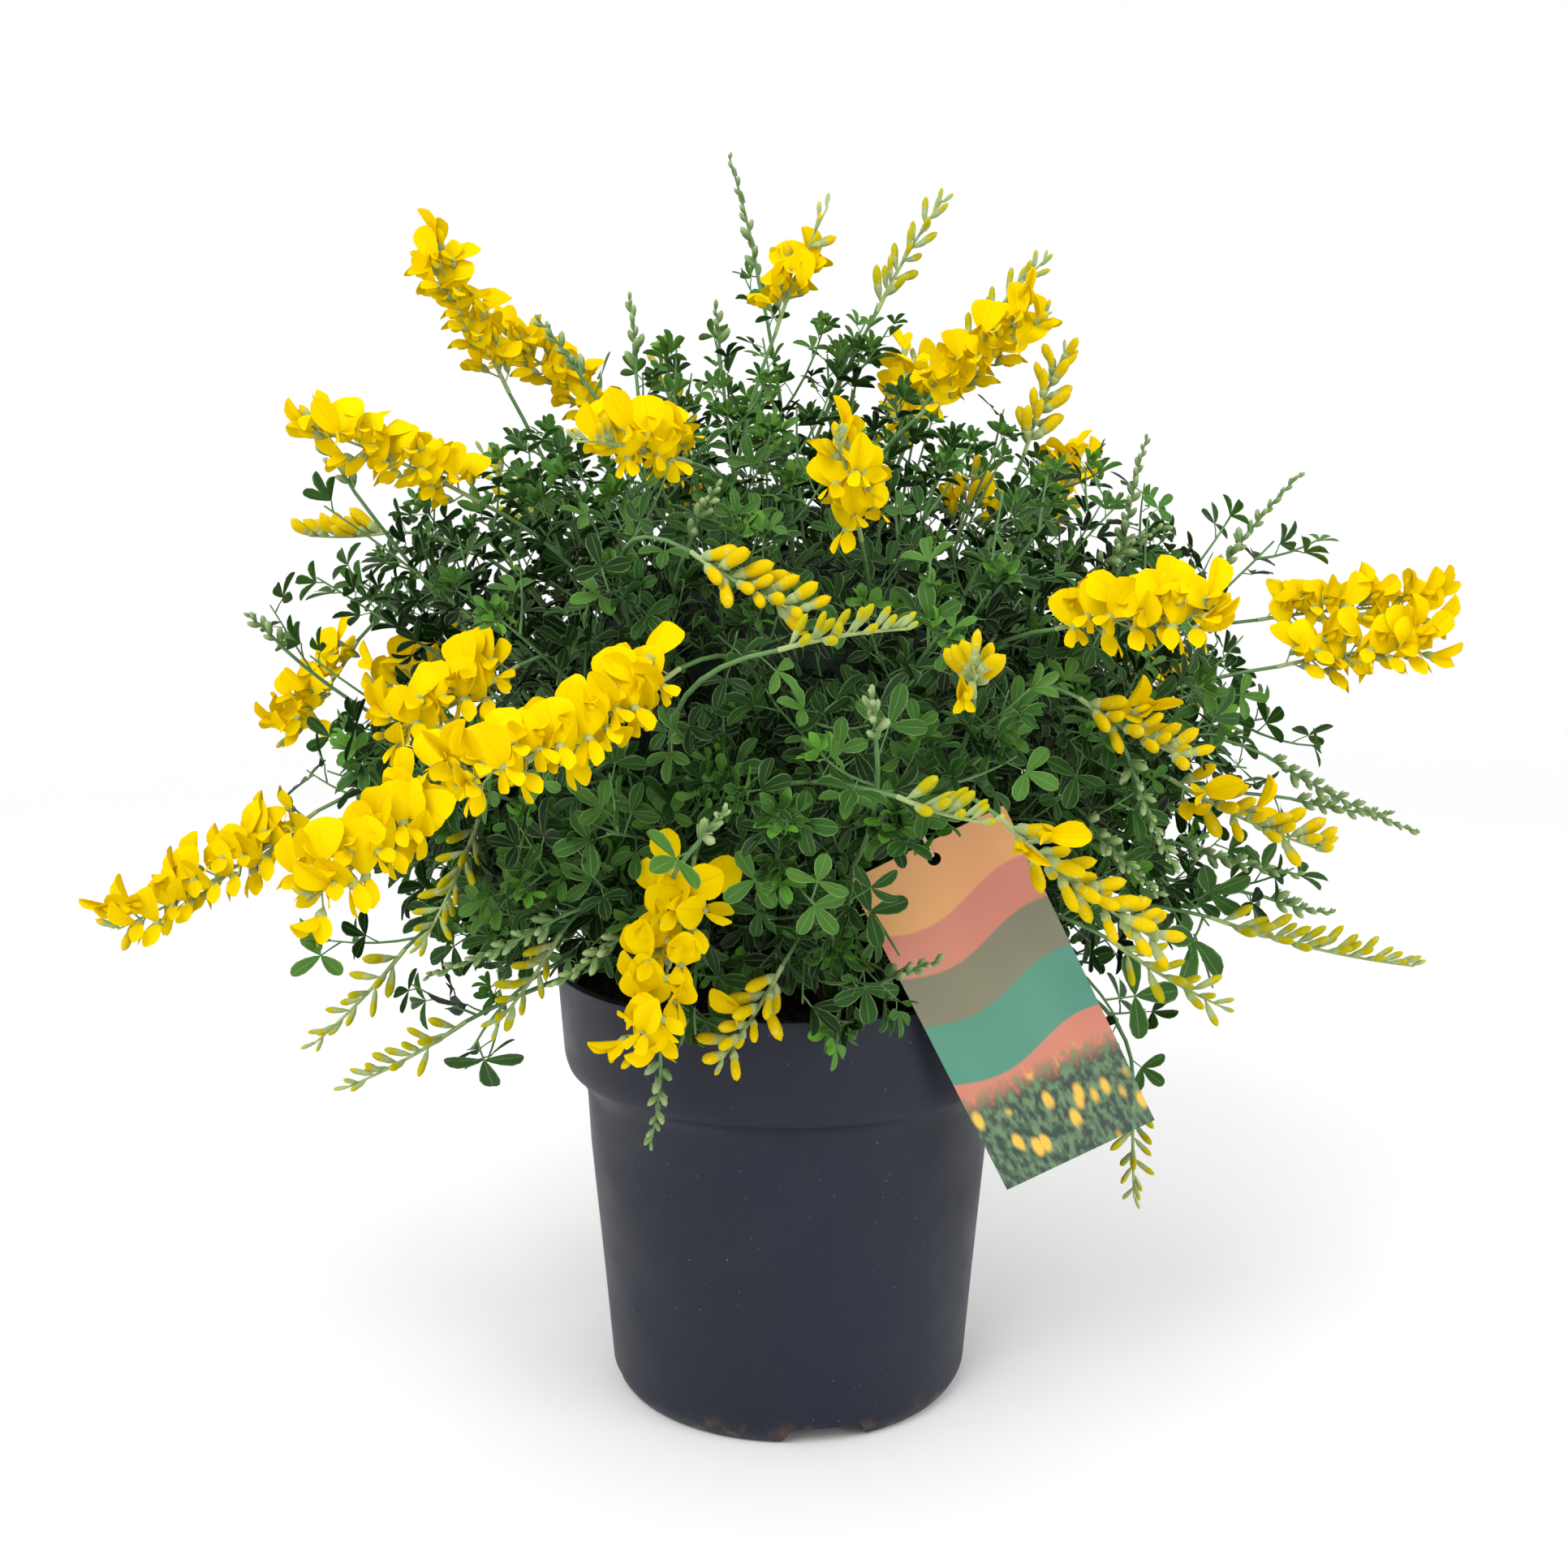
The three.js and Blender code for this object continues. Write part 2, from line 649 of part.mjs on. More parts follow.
// Where a shoot to the given place leaves the core
function coreStart(place) {
  const direction = place.clone().sub(CORE_CENTRE);
  const scaled = Math.hypot(direction.x / CORE_RADIUS, direction.y / CORE_RADIUS,
    direction.z / CORE_HALF_HEIGHT);
  return CORE_CENTRE.clone().addScaledVector(direction, SHOOT_ROOT / scaled);
}

// A shoot that ends in line with its raceme, GAP short of it, or sunk into its spike
function shootTo(base, tip, reach) {
  const heading = tip.clone().sub(base).normalize();
  const end = base.clone().addScaledVector(heading, reach);
  const bend = base.clone().addScaledVector(heading, -SHOOT_BEND);
  return [coreStart(base), bend, end];
}

function distanceToSegment(point, from, to) {
  const line = new THREE.Line3(from, to);
  return line.closestPointToPoint(point, true, new THREE.Vector3()).distanceTo(point);
}

function insideCard(point, margin) {
  const away = point.clone().sub(CARD_HOLE);
  const up = away.dot(cardUp);
  const nearUp = up > CARD_HOLE_INSET - CARD_LENGTH - margin && up < LOOP_LENGTH + margin;
  const nearAcross = Math.abs(away.dot(cardAcross)) < CARD_WIDTH / 2 + margin;
  return nearUp && nearAcross && Math.abs(away.dot(cardFace)) < margin;
}

function insidePot(point, margin) {
  return Math.hypot(point.x, point.y) < RIM_RADIUS + margin && point.z < POT_HEIGHT + margin;
}

function clearOfAll(point, margin) {
  const nearRaceme = racemes.some(({ base, tip, open }) => {
    const reach = open ? OPEN_REACH : BUD_REACH;
    return distanceToSegment(point, base, tip) < reach + margin;
  });
  return !nearRaceme && !insideCard(point, margin) && !insidePot(point, 0.7 * margin);
}

function runsClear(start, end, margin) {
  const steps = 8;
  return Array.from({ length: steps }, (_, i) => (i + 1) / steps)
    .every((along) => clearOfAll(start.clone().lerp(end, along), margin));
}

function leafPlacer(pieces) {
  const centres = [];
  return (root, heading, size) => {
    const centre = root.clone().addScaledVector(heading, 0.6 * size);
    const crowded = centres.some((other) => other.distanceTo(centre) < LEAF_SPACING);
    if (crowded || !clearOfAll(centre, 1.05 * size)) return;
    const outward = centre.clone().sub(CROWN).normalize();
    outward.z += 0.35;
    centres.push(centre);
    pieces.push(trifoliateLeaf(root, heading, outward.normalize(), size));
  };
}

function sideways(heading, turn) {
  return aroundAxis(frameAlong(heading), turn, radians(LEAF_LEAN));
}

// Two leaves on opposite sides of a shoot, each at its share of the way along
function addSideLeaves(addLeaf, start, end, shares, turn) {
  const heading = end.clone().sub(start).normalize();
  shares.forEach((share, k) => {
    addLeaf(start.clone().lerp(end, share), sideways(heading, turn + 2.5 * k), LEAF_SIZE);
  });
}

function cardTwig() {
  const left = twigCentre.clone().addScaledVector(cardAcross, -TWIG_LEFT);
  const right = twigCentre.clone().addScaledVector(cardAcross, TWIG_RIGHT);
  return taperedRod([coreStart(left), left, right], SHOOT_RADIUS, TWIG_RADIUS);
}

// The ends of the leafy shoots, spread evenly over the crown's surface
function shootEnds(random) {
  return Array.from({ length: SHOOT_COUNT }, (_, k) => {
    const height = THREE.MathUtils.lerp(SHOOT_HIGHEST, SHOOT_LOWEST, (k + 0.5) / SHOOT_COUNT);
    const outward = crownDirection(k * GOLDEN_ANGLE, Math.asin(height));
    const share = THREE.MathUtils.lerp(SHOOT_NEAREST, SHOOT_FURTHEST, random());
    return CROWN.clone().addScaledVector(outward, share * crownReach(outward));
  });
}

function foliageGeometry() {
  const random = seeded(7);
  const pieces = [coreGeometry(), cardTwig()];
  const addLeaf = leafPlacer(pieces);
  for (let k = 0; k < STEM_COUNT; k += 1) {
    pieces.push(taperedRod(stemPath(k), STEM_RADIUS, STEM_HEAD_RADIUS, 6));
  }
  for (const { base, tip } of spikes) {
    pieces.push(taperedRod(shootTo(base, tip, 2), SHOOT_RADIUS, SHOOT_TIP_RADIUS));
    pieces.push(budSpike(base, tip));
  }
  for (const { base, tip } of racemes) {
    pieces.push(taperedRod(shootTo(base, tip, -GAP), SHOOT_RADIUS, STALK_RADIUS));
  }
  for (const { base, tip } of [...racemes, ...spikes]) {
    const [start, bend] = shootTo(base, tip, 0);
    addSideLeaves(addLeaf, start, bend, [1, 0.68], 2 * Math.PI * random());
  }
  for (const end of shootEnds(random)) {
    const start = coreStart(end);
    const turn = 2 * Math.PI * random();
    if (!runsClear(start, end, 4)) continue;
    const heading = end.clone().sub(start).normalize();
    pieces.push(taperedRod([start, end], SHOOT_RADIUS, SHOOT_TIP_RADIUS));
    addLeaf(end.clone().addScaledVector(heading, -2), heading, LEAF_SIZE);
    addSideLeaves(addLeaf, start, end, [0.78, 0.6], turn);
  }
  return geometryOf(fuse(pieces));
}

const shrub = new THREE.Group();
shrub.add(named("pot", potGeometry(), MATERIALS.pot));
shrub.add(named("soil", soilGeometry(), MATERIALS.soil));
shrub.add(named("foliage", foliageGeometry(), MATERIALS.foliage));
shrub.add(named("label", cardGeometry(), MATERIALS.card));
shrub.add(named("label_tie", loopGeometry(), MATERIALS.loop));
racemes.forEach(({ base, tip, open }, k) => {
  const number = String(k + 1).padStart(2, "0");
  const name = `${open ? "raceme" : "bud_raceme"}_${number}`;
  const material = open ? MATERIALS.petal : MATERIALS.bud;
  shrub.add(named(name, raceme(base, tip, open, k), material));
});

export default shrub;
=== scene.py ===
# Broom shrub in a nursery pot: leafy crown, yellow racemes, bud spikes and a hang card.
# Metres, +Z up; the origin is the centre of the pot's foot and the front faces -Y.
import math
import bmesh
import bpy
import numpy as np
from mathutils import Matrix


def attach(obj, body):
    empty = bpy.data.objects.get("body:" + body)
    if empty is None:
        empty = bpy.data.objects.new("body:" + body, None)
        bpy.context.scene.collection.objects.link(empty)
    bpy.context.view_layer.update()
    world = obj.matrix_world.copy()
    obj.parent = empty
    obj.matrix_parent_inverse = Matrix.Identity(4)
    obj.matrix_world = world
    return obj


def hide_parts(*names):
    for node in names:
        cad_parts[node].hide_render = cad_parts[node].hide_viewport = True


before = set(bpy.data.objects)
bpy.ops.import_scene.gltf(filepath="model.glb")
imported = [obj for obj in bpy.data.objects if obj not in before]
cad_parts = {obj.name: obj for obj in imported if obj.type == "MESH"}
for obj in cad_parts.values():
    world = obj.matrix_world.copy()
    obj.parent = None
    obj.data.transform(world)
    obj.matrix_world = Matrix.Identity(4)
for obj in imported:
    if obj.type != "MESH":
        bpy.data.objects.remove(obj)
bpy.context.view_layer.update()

MM = 0.001
UP = np.array([0.0, 0.0, 1.0])
GOLDEN_ANGLE = 2.39996
random = np.random.default_rng(11)

# The photograph's viewpoint, fitted to the pot's rim and foot
CAMERA_PLACE = np.array([-0.0023, -0.8532, 0.4216])
CAMERA_PITCH = math.radians(8.06)
CAMERA_LENS = 40.06
SENSOR = 36.0

# Pot
POT_HEIGHT = 0.212
RIM_RADIUS = 0.115
BAND_RADIUS = 0.112
BAND_FOOT = 0.166
BODY_TOP_RADIUS = 0.101
BODY_TOP = 0.150
FOOT_RADIUS = 0.0895
BASE_RADIUS = 0.085
WALL = 0.0024
LIP = 0.004
POT_SEGMENTS = 144
NOTCH_WIDTH = 0.046
NOTCH_HEIGHT = 0.009
NOTCH_DEPTH = 0.026
NOTCH_COUNT = 4
NOTCH_TURN = math.radians(11.5)
SOIL_TOP = 0.197
SOIL_FOOT = 0.0125

# Crown of foliage: its reach from the centre at each elevation, on the left and on the right
CROWN = np.array([0.0, 0.0, 0.340])
CROWN_ELEVATIONS = (-45, -30, -15, 0, 12, 25, 37, 48, 60, 75, 90)
CROWN_LEFT = (0.188, 0.210, 0.230, 0.246, 0.250, 0.226, 0.200, 0.196, 0.182, 0.192, 0.190)
CROWN_RIGHT = (0.188, 0.206, 0.224, 0.243, 0.256, 0.234, 0.188, 0.190, 0.172, 0.180, 0.190)
CROWN_FRONT_SHARE = 0.88
CORE_RADII = (0.118, 0.118, 0.080)
CORE_CENTRE = (0, 0.012, 0.326)
LEAFLET = 0.0150
HIDING_SHARE = 0.10

# Shoots
WOODY_STEMS = 5
WOODY_TURN = 0.4
WOODY_FOOT = 0.024
WOODY_HEAD = (0.060, 0.285)
WOODY_RADII = (0.0045, 0.0026)
SHOOT_RADIUS = 0.0015
SHOOT_TIP = 0.0009
TWIG_TIP = 0.0005
SPRIG_RADII = (0.0007, 0.0004)
SPRIG_LENGTHS = (0.028, 0.060)
RACEME_LEAVES = 0.016
SPIKE_LEAVES = 0.014
STRAY_LEAVES = 0.009
CROWN_SHOOTS = 165
SKIRT_SHOOTS = 46
SKIRT_RADII = (0.055, 0.118)
LOOSE_ABOVE = 0.55
LOOSE_SPACING = 0.0042
SPIKE_SPACING = 0.0029
SPIKE_RADII = (0.0009, 0.0004)

# Flowers and buds
PETAL_STEPS = (0, 0.2, 0.45, 0.7, 0.88, 1)
PETAL_WIDTHS = (0.16, 0.64, 0.95, 1.0, 0.86, 0.50)
THROAT = 0.0040
BANNER_LENGTH = 0.0150
BANNER_WIDTH = 0.0088
BANNER_SPREAD = 0.0080
WING_SIZE = (0.0108, 0.0062)
KEEL_SIZE = (0.0086, 0.0017)
CALYX_SIZE = (0.0060, 0.0019)
PEDICEL = 0.0022
PEDICEL_RADIUS = 0.00045
STALK_RADII = (0.0011, 0.0005)
FLOWER_STALK_RADII = (0.0005, 0.0004, 0.0005)
FLOWER_SPACING = 0.0030
FLOWER_SCALES = (1.02, 1.24)
OPENING_CHANCE = 0.16
FRONT_LEAN = np.array([0.0, -1.70, 0.15])
RIPE_FROM = 0.82
YOUNG_BELOW = 0.50

# Clearances: how far leaves keep from the stalks of flowers, buds and spikes, and what stays bare
FLOWER_REACH = 0.015
BUD_REACH = 0.007
BUD_REACH_IN_VIEW = 0.008
SPIKE_REACH = 0.004
BARE_LEFT_OF = -0.058
BARE_BELOW_LEFT = 0.228
BARE_BELOW = 0.206
CARD_COVERED = (-0.022, -0.036)

# Hang card
CARD_WIDTH = 0.074
CARD_LENGTH = 0.166
CARD_HOLE_INSET = 0.008
CARD_LOW = CARD_HOLE_INSET - CARD_LENGTH
CARD_THICKNESS = 0.0005
CARD_CURL = 0.0022
CARD_HOLE_RADIUS = 0.003
CARD_HOLE = np.array([0.0625, -0.112, 0.284])
CARD_FOOT = np.array([0.133, -0.092, 0.1425])
LOOP_LENGTH = 0.024
LOOP_RADIUS = 0.003
LOOP_WIRE = 0.0009
LOOP_PLAY = 0.0003
TWIG_RADIUS = 0.0016

# Racemes as the frame holds them: base and tip in millimetres, and the share in open flower or ripe bud
OPEN_RACEMES = [
    [(-134, 0, 490), (-165, -30, 552), 0.90],
    [(-91, 50, 479), (-142, 40, 520), 0.90],
    [(-139, -60, 437), (-203, -90, 467), 0.92],
    [(-41, -120, 452), (-81, -190, 457), 0.64],
    [(-6, -45, 513), (17, -55, 566), 0.45],
    [(59, -30, 476), (116, -60, 520), 0.86],
    [(29, -140, 420), (17, -190, 461), 0.66],
    [(231, 10, 381), (318, 10, 387), 0.94],
    [(226, -45, 362), (290, -58, 372), 0.94],
    [(107, -150, 385), (159, -190, 392), 0.94],
    [(-42, -190, 372), (-115, -262, 337), 0.96],
    [(-114, -120, 368), (-164, -150, 342), 0.92],
    [(-132, -170, 330), (-176, -230, 290), 0.92],
    [(-220, -50, 295), (-300, -90, 248), 0.92],
    [(-38, -165, 295), (-61, -175, 217), 0.92],
    [(-225, 60, 368), (-268, 70, 315), 0.85],
]
BUD_RACEMES = [
    [(43, 20, 530), (75, 30, 584), 0.70],
    [(85, 10, 511), (123, 10, 553), 0.60],
    [(116, 20, 462), (138, 40, 513), 0.85],
    [(119, -140, 356), (154, -170, 336), 1.00],
    [(168, -90, 316), (225, -120, 290), 0.95],
    [(193, -70, 249), (280, -90, 231), 0.75],
    [(141, -110, 247), (185, -130, 223), 0.75],
    [(80, -200, 316), (143, -190, 266), 0.90],
    [(39, -225, 328), (70, -250, 322), 0.55],
    [(-38, -180, 416), (3, -200, 394), 1.00],
    [(-4, -235, 382), (40, -265, 391), 0.50],
    [(68, -210, 363), (65, -235, 376), 1.00],
    [(-134, -110, 301), (-156, -130, 250), 0.78],
    [(-172, -90, 239), (-209, -110, 201), 0.40],
    [(-142, -110, 211), (-187, -140, 191), 0.40],
    [(-97, -130, 255), (-122, -150, 221), 0.76],
    [(-3, -145, 245), (-28, -155, 208), 0.90],
    [(166, -40, 163), (166, -50, 107), 0.55],
    [(-207, 60, 424), (-249, 70, 422), 0.95],
    [(88, 60, 422), (97, 70, 452), 0.90],
]
GREEN_SPIKES = [
    [(-91, -60, 490), (-110, -70, 516)],
    [(-199, -40, 441), (-222, -55, 478)],
    [(-14, 0, 540), (-28, -10, 597)],
    [(167, 30, 410), (180, 40, 471)],
    [(208, 0, 403), (246, 0, 451)],
    [(142, -40, 407), (169, -60, 426)],
    [(139, -140, 333), (156, -160, 289)],
    [(235, 0, 315), (311, 0, 277)],
    [(257, 30, 289), (308, 30, 281)],
    [(181, -50, 280), (236, -60, 267)],
    [(232, -20, 248), (264, -20, 240)],
    [(128, -106, 302), (152, -150, 276)],
    [(-94, -150, 267), (-144, -180, 249)],
    [(-67, -160, 262), (-95, -175, 244)],
    [(-55, -130, 202), (-60, -130, 162)],
    [(-241, -20, 369), (-254, -30, 385)],
    [(-73, 0, 499), (-76, 0, 534)],
    [(-35, 50, 516), (-37, 50, 536)],
    [(-40, -150, 419), (-28, -170, 441)],
    [(31, -230, 347), (28, -250, 368)],
    [(-34, -220, 310), (-23, -240, 325)],
    [(40, -140, 237), (61, -155, 249)],
]
STRAY_SHOOTS = [
    [(-116, -120, 242), (-138, -140, 200)],
    [(133, -85, 241), (151, -100, 197)],
    [(186, -20, 392), (213, -20, 439)],
    [(199, -10, 384), (240, 0, 425)],
    [(125, 0, 438), (146, 0, 461)],
    [(-194, -20, 384), (-228, -30, 407)],
    [(-177, -40, 411), (-218, -50, 440)],
    [(-203, -20, 345), (-232, -30, 371)],
    [(-184, -60, 296), (-202, -70, 333)],
    [(171, -60, 281), (197, -70, 238)],
    [(196, -30, 331), (231, -40, 339)],
    [(-8, -5, 495), (-14, -10, 522)],
    [(19, 0, 491), (40, 0, 529)],
    [(-54, -20, 475), (-52, -20, 516)],
    [(-99, -60, 458), (-111, -62, 474)],
    [(-42, -140, 247), (-38, -160, 212)],
    [(13, -140, 265), (10, -152, 240)],
    [(36, -140, 265), (49, -155, 245)],
]
BACK_ROWS = [
    (52, (62, 118)),
    (30, (40, 76, 108, 142)),
    (6, (30, 58, 92, 124, 152)),
    (-14, (44, 76, 108, 138)),
]
BACK_LENGTH = 0.066
BACK_RADIUS = 0.198
BACK_ABOVE = 0.155
BACK_BELOW = 0.108
BACK_OPEN_SHARE = 0.88
BACK_RIPE_SHARE = 0.75

# Linear colours
POT_COLOUR = (0.0046, 0.0070, 0.0176)
POT_DUST = (0.25, 0.24, 0.23)
POT_MUD = (0.16, 0.085, 0.045)
# The leaves' darkest and lightest greens also serve as painted shade inside and low in the crown and
# painted light at its top.
LEAF_DARK_AND_SHADE = (0.0030, 0.0120, 0.0030)
LEAF_MID = (0.030, 0.106, 0.014)
LEAF_LIGHT_AND_LIT = (0.090, 0.235, 0.032)
LEAF_YOUNG = (0.130, 0.370, 0.026)
LEAF_EDGE = (0.250, 0.400, 0.130)
STEM_COLOUR = (0.075, 0.170, 0.045)
SILKY_BUD = (0.330, 0.420, 0.170)
PETAL_COLOUR = (0.700, 0.500, 0.0006)
# The deeper petal yellow also serves as painted shade in the petals' creases.
PETAL_DEEP_AND_SHADE = (0.580, 0.370, 0.0006)
PETAL_PALE = (0.800, 0.610, 0.0030)
PETAL_GLOW = 0.13
BUD_YELLOW = (0.640, 0.460, 0.0010)
BUD_OLIVE = (0.440, 0.390, 0.0060)
CARD_PEACH = ((0.62, 0.24, 0.09), (0.80, 0.44, 0.12))
CARD_CORAL = ((0.50, 0.13, 0.09), (0.66, 0.26, 0.15))
CARD_OLIVE = ((0.13, 0.13, 0.08), (0.24, 0.22, 0.12))
CARD_TEAL = ((0.03, 0.20, 0.14), (0.09, 0.30, 0.19))
CARD_MEADOW = ((0.012, 0.035, 0.025), (0.12, 0.22, 0.10))
CARD_DOTS = (0.80, 0.48, 0.05)
CARD_EDGE = ((0.78, 0.76, 0.70), (0.624, 0.608, 0.56))
LOOP_PAPER = ((0.62, 0.48, 0.32), (0.496, 0.384, 0.256))
FLOOR_PAPER = ((0.92, 0.92, 0.92), (0.94, 0.94, 0.94))
COMPOST = ((0.012, 0.008, 0.005), (0.075, 0.045, 0.026))
BARK = ((0.05, 0.035, 0.02), (0.14, 0.12, 0.06))
INNER_SHADE = ((0.003, 0.008, 0.004), (0.010, 0.034, 0.012))


# Vector helpers

def unit(vector):
    return vector / max(np.linalg.norm(vector), 1e-9)


def square_to(vector, direction):
    """The part of a vector that is square to a unit direction, at unit length."""
    part = vector - direction * np.dot(vector, direction)
    if np.linalg.norm(part) < 1e-3:
        part = np.cross(direction, (0.31, 0.95, 0.05))
    return unit(part)


def basis(forward, up):
    """Columns: side, forward, up, with up made square to forward."""
    forward = unit(forward)
    up = square_to(np.asarray(up, float), forward)
    return np.stack([np.cross(forward, up), forward, up], axis=1)


def around(direction, turn, lean, reference=UP):
    """A unit vector at the angle lean from direction, turned about it."""
    side, ahead, over = basis(direction, reference).T
    return math.cos(lean) * ahead + math.sin(lean) * (math.cos(turn) * over + math.sin(turn) * side)


def bent_line(start, middle, end, count):
    t = np.linspace(0.0, 1.0, count)[:, None]
    return (1 - t) ** 2 * start + 2 * t * (1 - t) * middle + t ** 2 * end


# Pieces and their shapes

def new_object(name, data):
    piece = bpy.data.objects.new(name, data)
    bpy.context.collection.objects.link(piece)
    return piece


def dress(piece, node):
    """Ties a piece to the plant's body and hides the CAD node whose place it takes."""
    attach(piece, "root")
    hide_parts(node)


def smooth_faces(mesh):
    mesh.polygons.foreach_set("use_smooth", np.full(len(mesh.polygons), True))


def points_of(piece):
    return np.array([v.co for v in piece.data.vertices])


def move_points(piece, points):
    piece.data.vertices.foreach_set("co", points.ravel())
    piece.data.update()


def carve(piece, block):
    """Cuts a block out of a piece and takes the block away."""
    bpy.context.view_layer.objects.active = piece
    cut = piece.modifiers.new("cut", "BOOLEAN")
    cut.operation = "DIFFERENCE"
    cut.object = block
    bpy.ops.object.modifier_apply(modifier=cut.name)
    bpy.data.objects.remove(block)


class Shape:
    """Triangles with a texture coordinate at each point and a material number on each face."""

    def __init__(self, points, faces, uv=None, material=0):
        self.points = np.asarray(points, float)
        self.faces = np.asarray(faces, int)
        self.uv = np.zeros((len(self.points), 2)) if uv is None else np.asarray(uv, float)
        self.material = np.full(len(self.faces), material) if np.isscalar(material) else material


def joined(shapes):
    offset = np.cumsum([0] + [len(s.points) for s in shapes[:-1]])
    return Shape(
        np.concatenate([s.points for s in shapes]),
        np.concatenate([s.faces + o for s, o in zip(shapes, offset)]),
        np.concatenate([s.uv for s in shapes]),
        np.concatenate([s.material for s in shapes]),
    )


def sheet(grid, uv):
    """A grid of points, rows by columns, as a sheet of triangles."""
    rows, columns = grid.shape[:2]
    faces = []
    for r in range(rows - 1):
        for c in range(columns - 1):
            a = r * columns + c
            faces.append((a, a + 1, a + columns + 1))
            faces.append((a, a + columns + 1, a + columns))
    return Shape(grid.reshape(-1, 3), faces, uv.reshape(-1, 2))


def tube(path, radii, sides, material=0, tip=True):
    """A tube along a path, closed to a point at its end, with v along it in the texture."""
    path = np.asarray(path, float)
    count = len(path)
    radii = np.broadcast_to(radii, count)
    tangent = np.gradient(path, axis=0)
    reference = UP if abs(unit(path[-1] - path[0])[2]) < 0.9 else np.array([1.0, 0.0, 0.0])
    angles = np.arange(sides) * 2 * math.pi / sides
    points = []
    for place, ahead, radius in zip(path, tangent, radii):
        side, _, over = basis(ahead, reference).T
        points.append(place + radius * (np.cos(angles)[:, None] * side + np.sin(angles)[:, None] * over))
    points = np.concatenate(points)
    faces = []
    for k in range(count - 1):
        for i in range(sides):
            a = k * sides + i
            b = k * sides + (i + 1) % sides
            faces.append((b, a, a + sides))
            faces.append((b, a + sides, b + sides))
    if tip:
        points = np.concatenate([points, path[-1:] + unit(tangent[-1]) * radii[-1]])
        last = (count - 1) * sides
        for i in range(sides):
            faces.append((last + (i + 1) % sides, last + i, len(points) - 1))
    uv = np.zeros((len(points), 2))
    uv[:, 0] = np.tile(np.arange(sides) / sides, count + 1)[:len(points)]
    uv[:, 1] = np.repeat(np.linspace(0, 1, count + 1), sides)[:len(points)]
    return Shape(points, faces, uv, material)


class Stock:
    """Copies of shapes for one piece, each with its own place and tone."""

    def __init__(self):
        self.parts = []

    def add(self, shape, place=(0, 0, 0), turn=None, size=1.0, tone=0.5):
        points = shape.points * size
        if turn is not None:
            points = points @ turn.T
        self.parts.append((points + place, shape, tone))

    def piece(self, name, materials, node, slot):
        """All the copies as one mesh."""
        points = np.concatenate([p for p, _, _ in self.parts])
        offset = np.cumsum([0] + [len(p) for p, _, _ in self.parts[:-1]])
        faces = np.concatenate([s.faces + o for (_, s, _), o in zip(self.parts, offset)])
        uv = np.concatenate([s.uv for _, s, _ in self.parts])
        mesh = bpy.data.meshes.new(name)
        mesh.vertices.add(len(points))
        mesh.vertices.foreach_set("co", points.ravel())
        mesh.loops.add(faces.size)
        mesh.loops.foreach_set("vertex_index", faces.ravel())
        mesh.polygons.add(len(faces))
        mesh.polygons.foreach_set("loop_start", np.arange(0, faces.size, 3))
        numbers = np.concatenate([s.material for _, s, _ in self.parts])
        mesh.polygons.foreach_set("material_index", numbers)
        smooth_faces(mesh)
        layer = mesh.uv_layers.new(name="UVMap")
        layer.data.foreach_set("uv", uv[faces.ravel()].ravel())
        tone = mesh.attributes.new("tone", "FLOAT", "POINT")
        tone.data.foreach_set("value", np.concatenate([np.full(len(p), t) for p, _, t in self.parts]))
        for material in materials:
            mesh.materials.append(material)
        mesh.update(calc_edges=True)
        mesh.validate()
        dress(new_object(name, mesh), node)


# Materials

class Look:
    """A material in the making: each method adds nodes and gives back what they put out."""

    def __init__(self, name, colour, roughness=0.5, **sockets):
        self.material = bpy.data.materials.new(name)
        self.material.use_nodes = True
        self.nodes = self.material.node_tree.nodes
        self.feed("Base Color", colour)
        self.feed("Roughness", roughness)
        for socket, value in sockets.items():
            self.feed(socket.replace("_", " "), value)

    def feed(self, socket, value):
        """Gives a socket a number, a colour or an output; a name stands for the shader's own socket."""
        if isinstance(socket, str):
            socket = self.nodes["Principled BSDF"].inputs[socket]
        if isinstance(value, bpy.types.NodeSocket):
            self.material.node_tree.links.new(value, socket)
        elif isinstance(value, tuple):
            socket.default_value = (*value, 1.0)
        else:
            socket.default_value = value

    def node(self, kind, inputs, output=0, **settings):
        node = self.nodes.new("ShaderNode" + kind)
        for name, value in settings.items():
            setattr(node, name, value)
        for socket, value in inputs.items():
            self.feed(node.inputs[socket], value)
        return node.outputs[output]

    def mix(self, factor, first, second):
        return self.node("Mix", {0: factor, 6: first, 7: second}, 2, data_type="RGBA")

    def ramp(self, value, low, high):
        inputs = {"Value": value, "From Min": low, "From Max": high}
        return self.node("MapRange", inputs, "Result", interpolation_type="SMOOTHSTEP")

    def coordinate(self, kind):
        return self.node("TexCoord", {}, kind)

    def axis(self, number, kind="UV"):
        return self.node("SeparateXYZ", {0: self.coordinate(kind)}, number)

    def noise(self, scale, detail=3.0, kind="Object"):
        inputs = {"Scale": scale, "Detail": detail, "Vector": self.coordinate(kind)}
        return self.node("TexNoise", inputs, "Fac")

    def patches(self, scale, low, high, detail=3.0):
        return self.ramp(self.noise(scale, detail), low, high)

    def tone(self):
        return self.node("Attribute", {}, "Fac", attribute_name="tone")

    def math(self, operation, first, second=0.0):
        return self.node("Math", {0: first, 1: second}, operation=operation)

    def times(self, first, second):
        return self.math("MULTIPLY", first, second)

    def from_midrib(self):
        """How far a point lies from the middle of u."""
        return self.math("ABSOLUTE", self.math("SUBTRACT", self.axis(0), 0.5))

    def bump(self, height, strength, distance):
        inputs = {"Strength": strength, "Distance": distance, "Height": height}
        self.feed("Normal", self.node("Bump", inputs))

    def done(self, body):
        self.feed("Base Color", body)
        return self.material


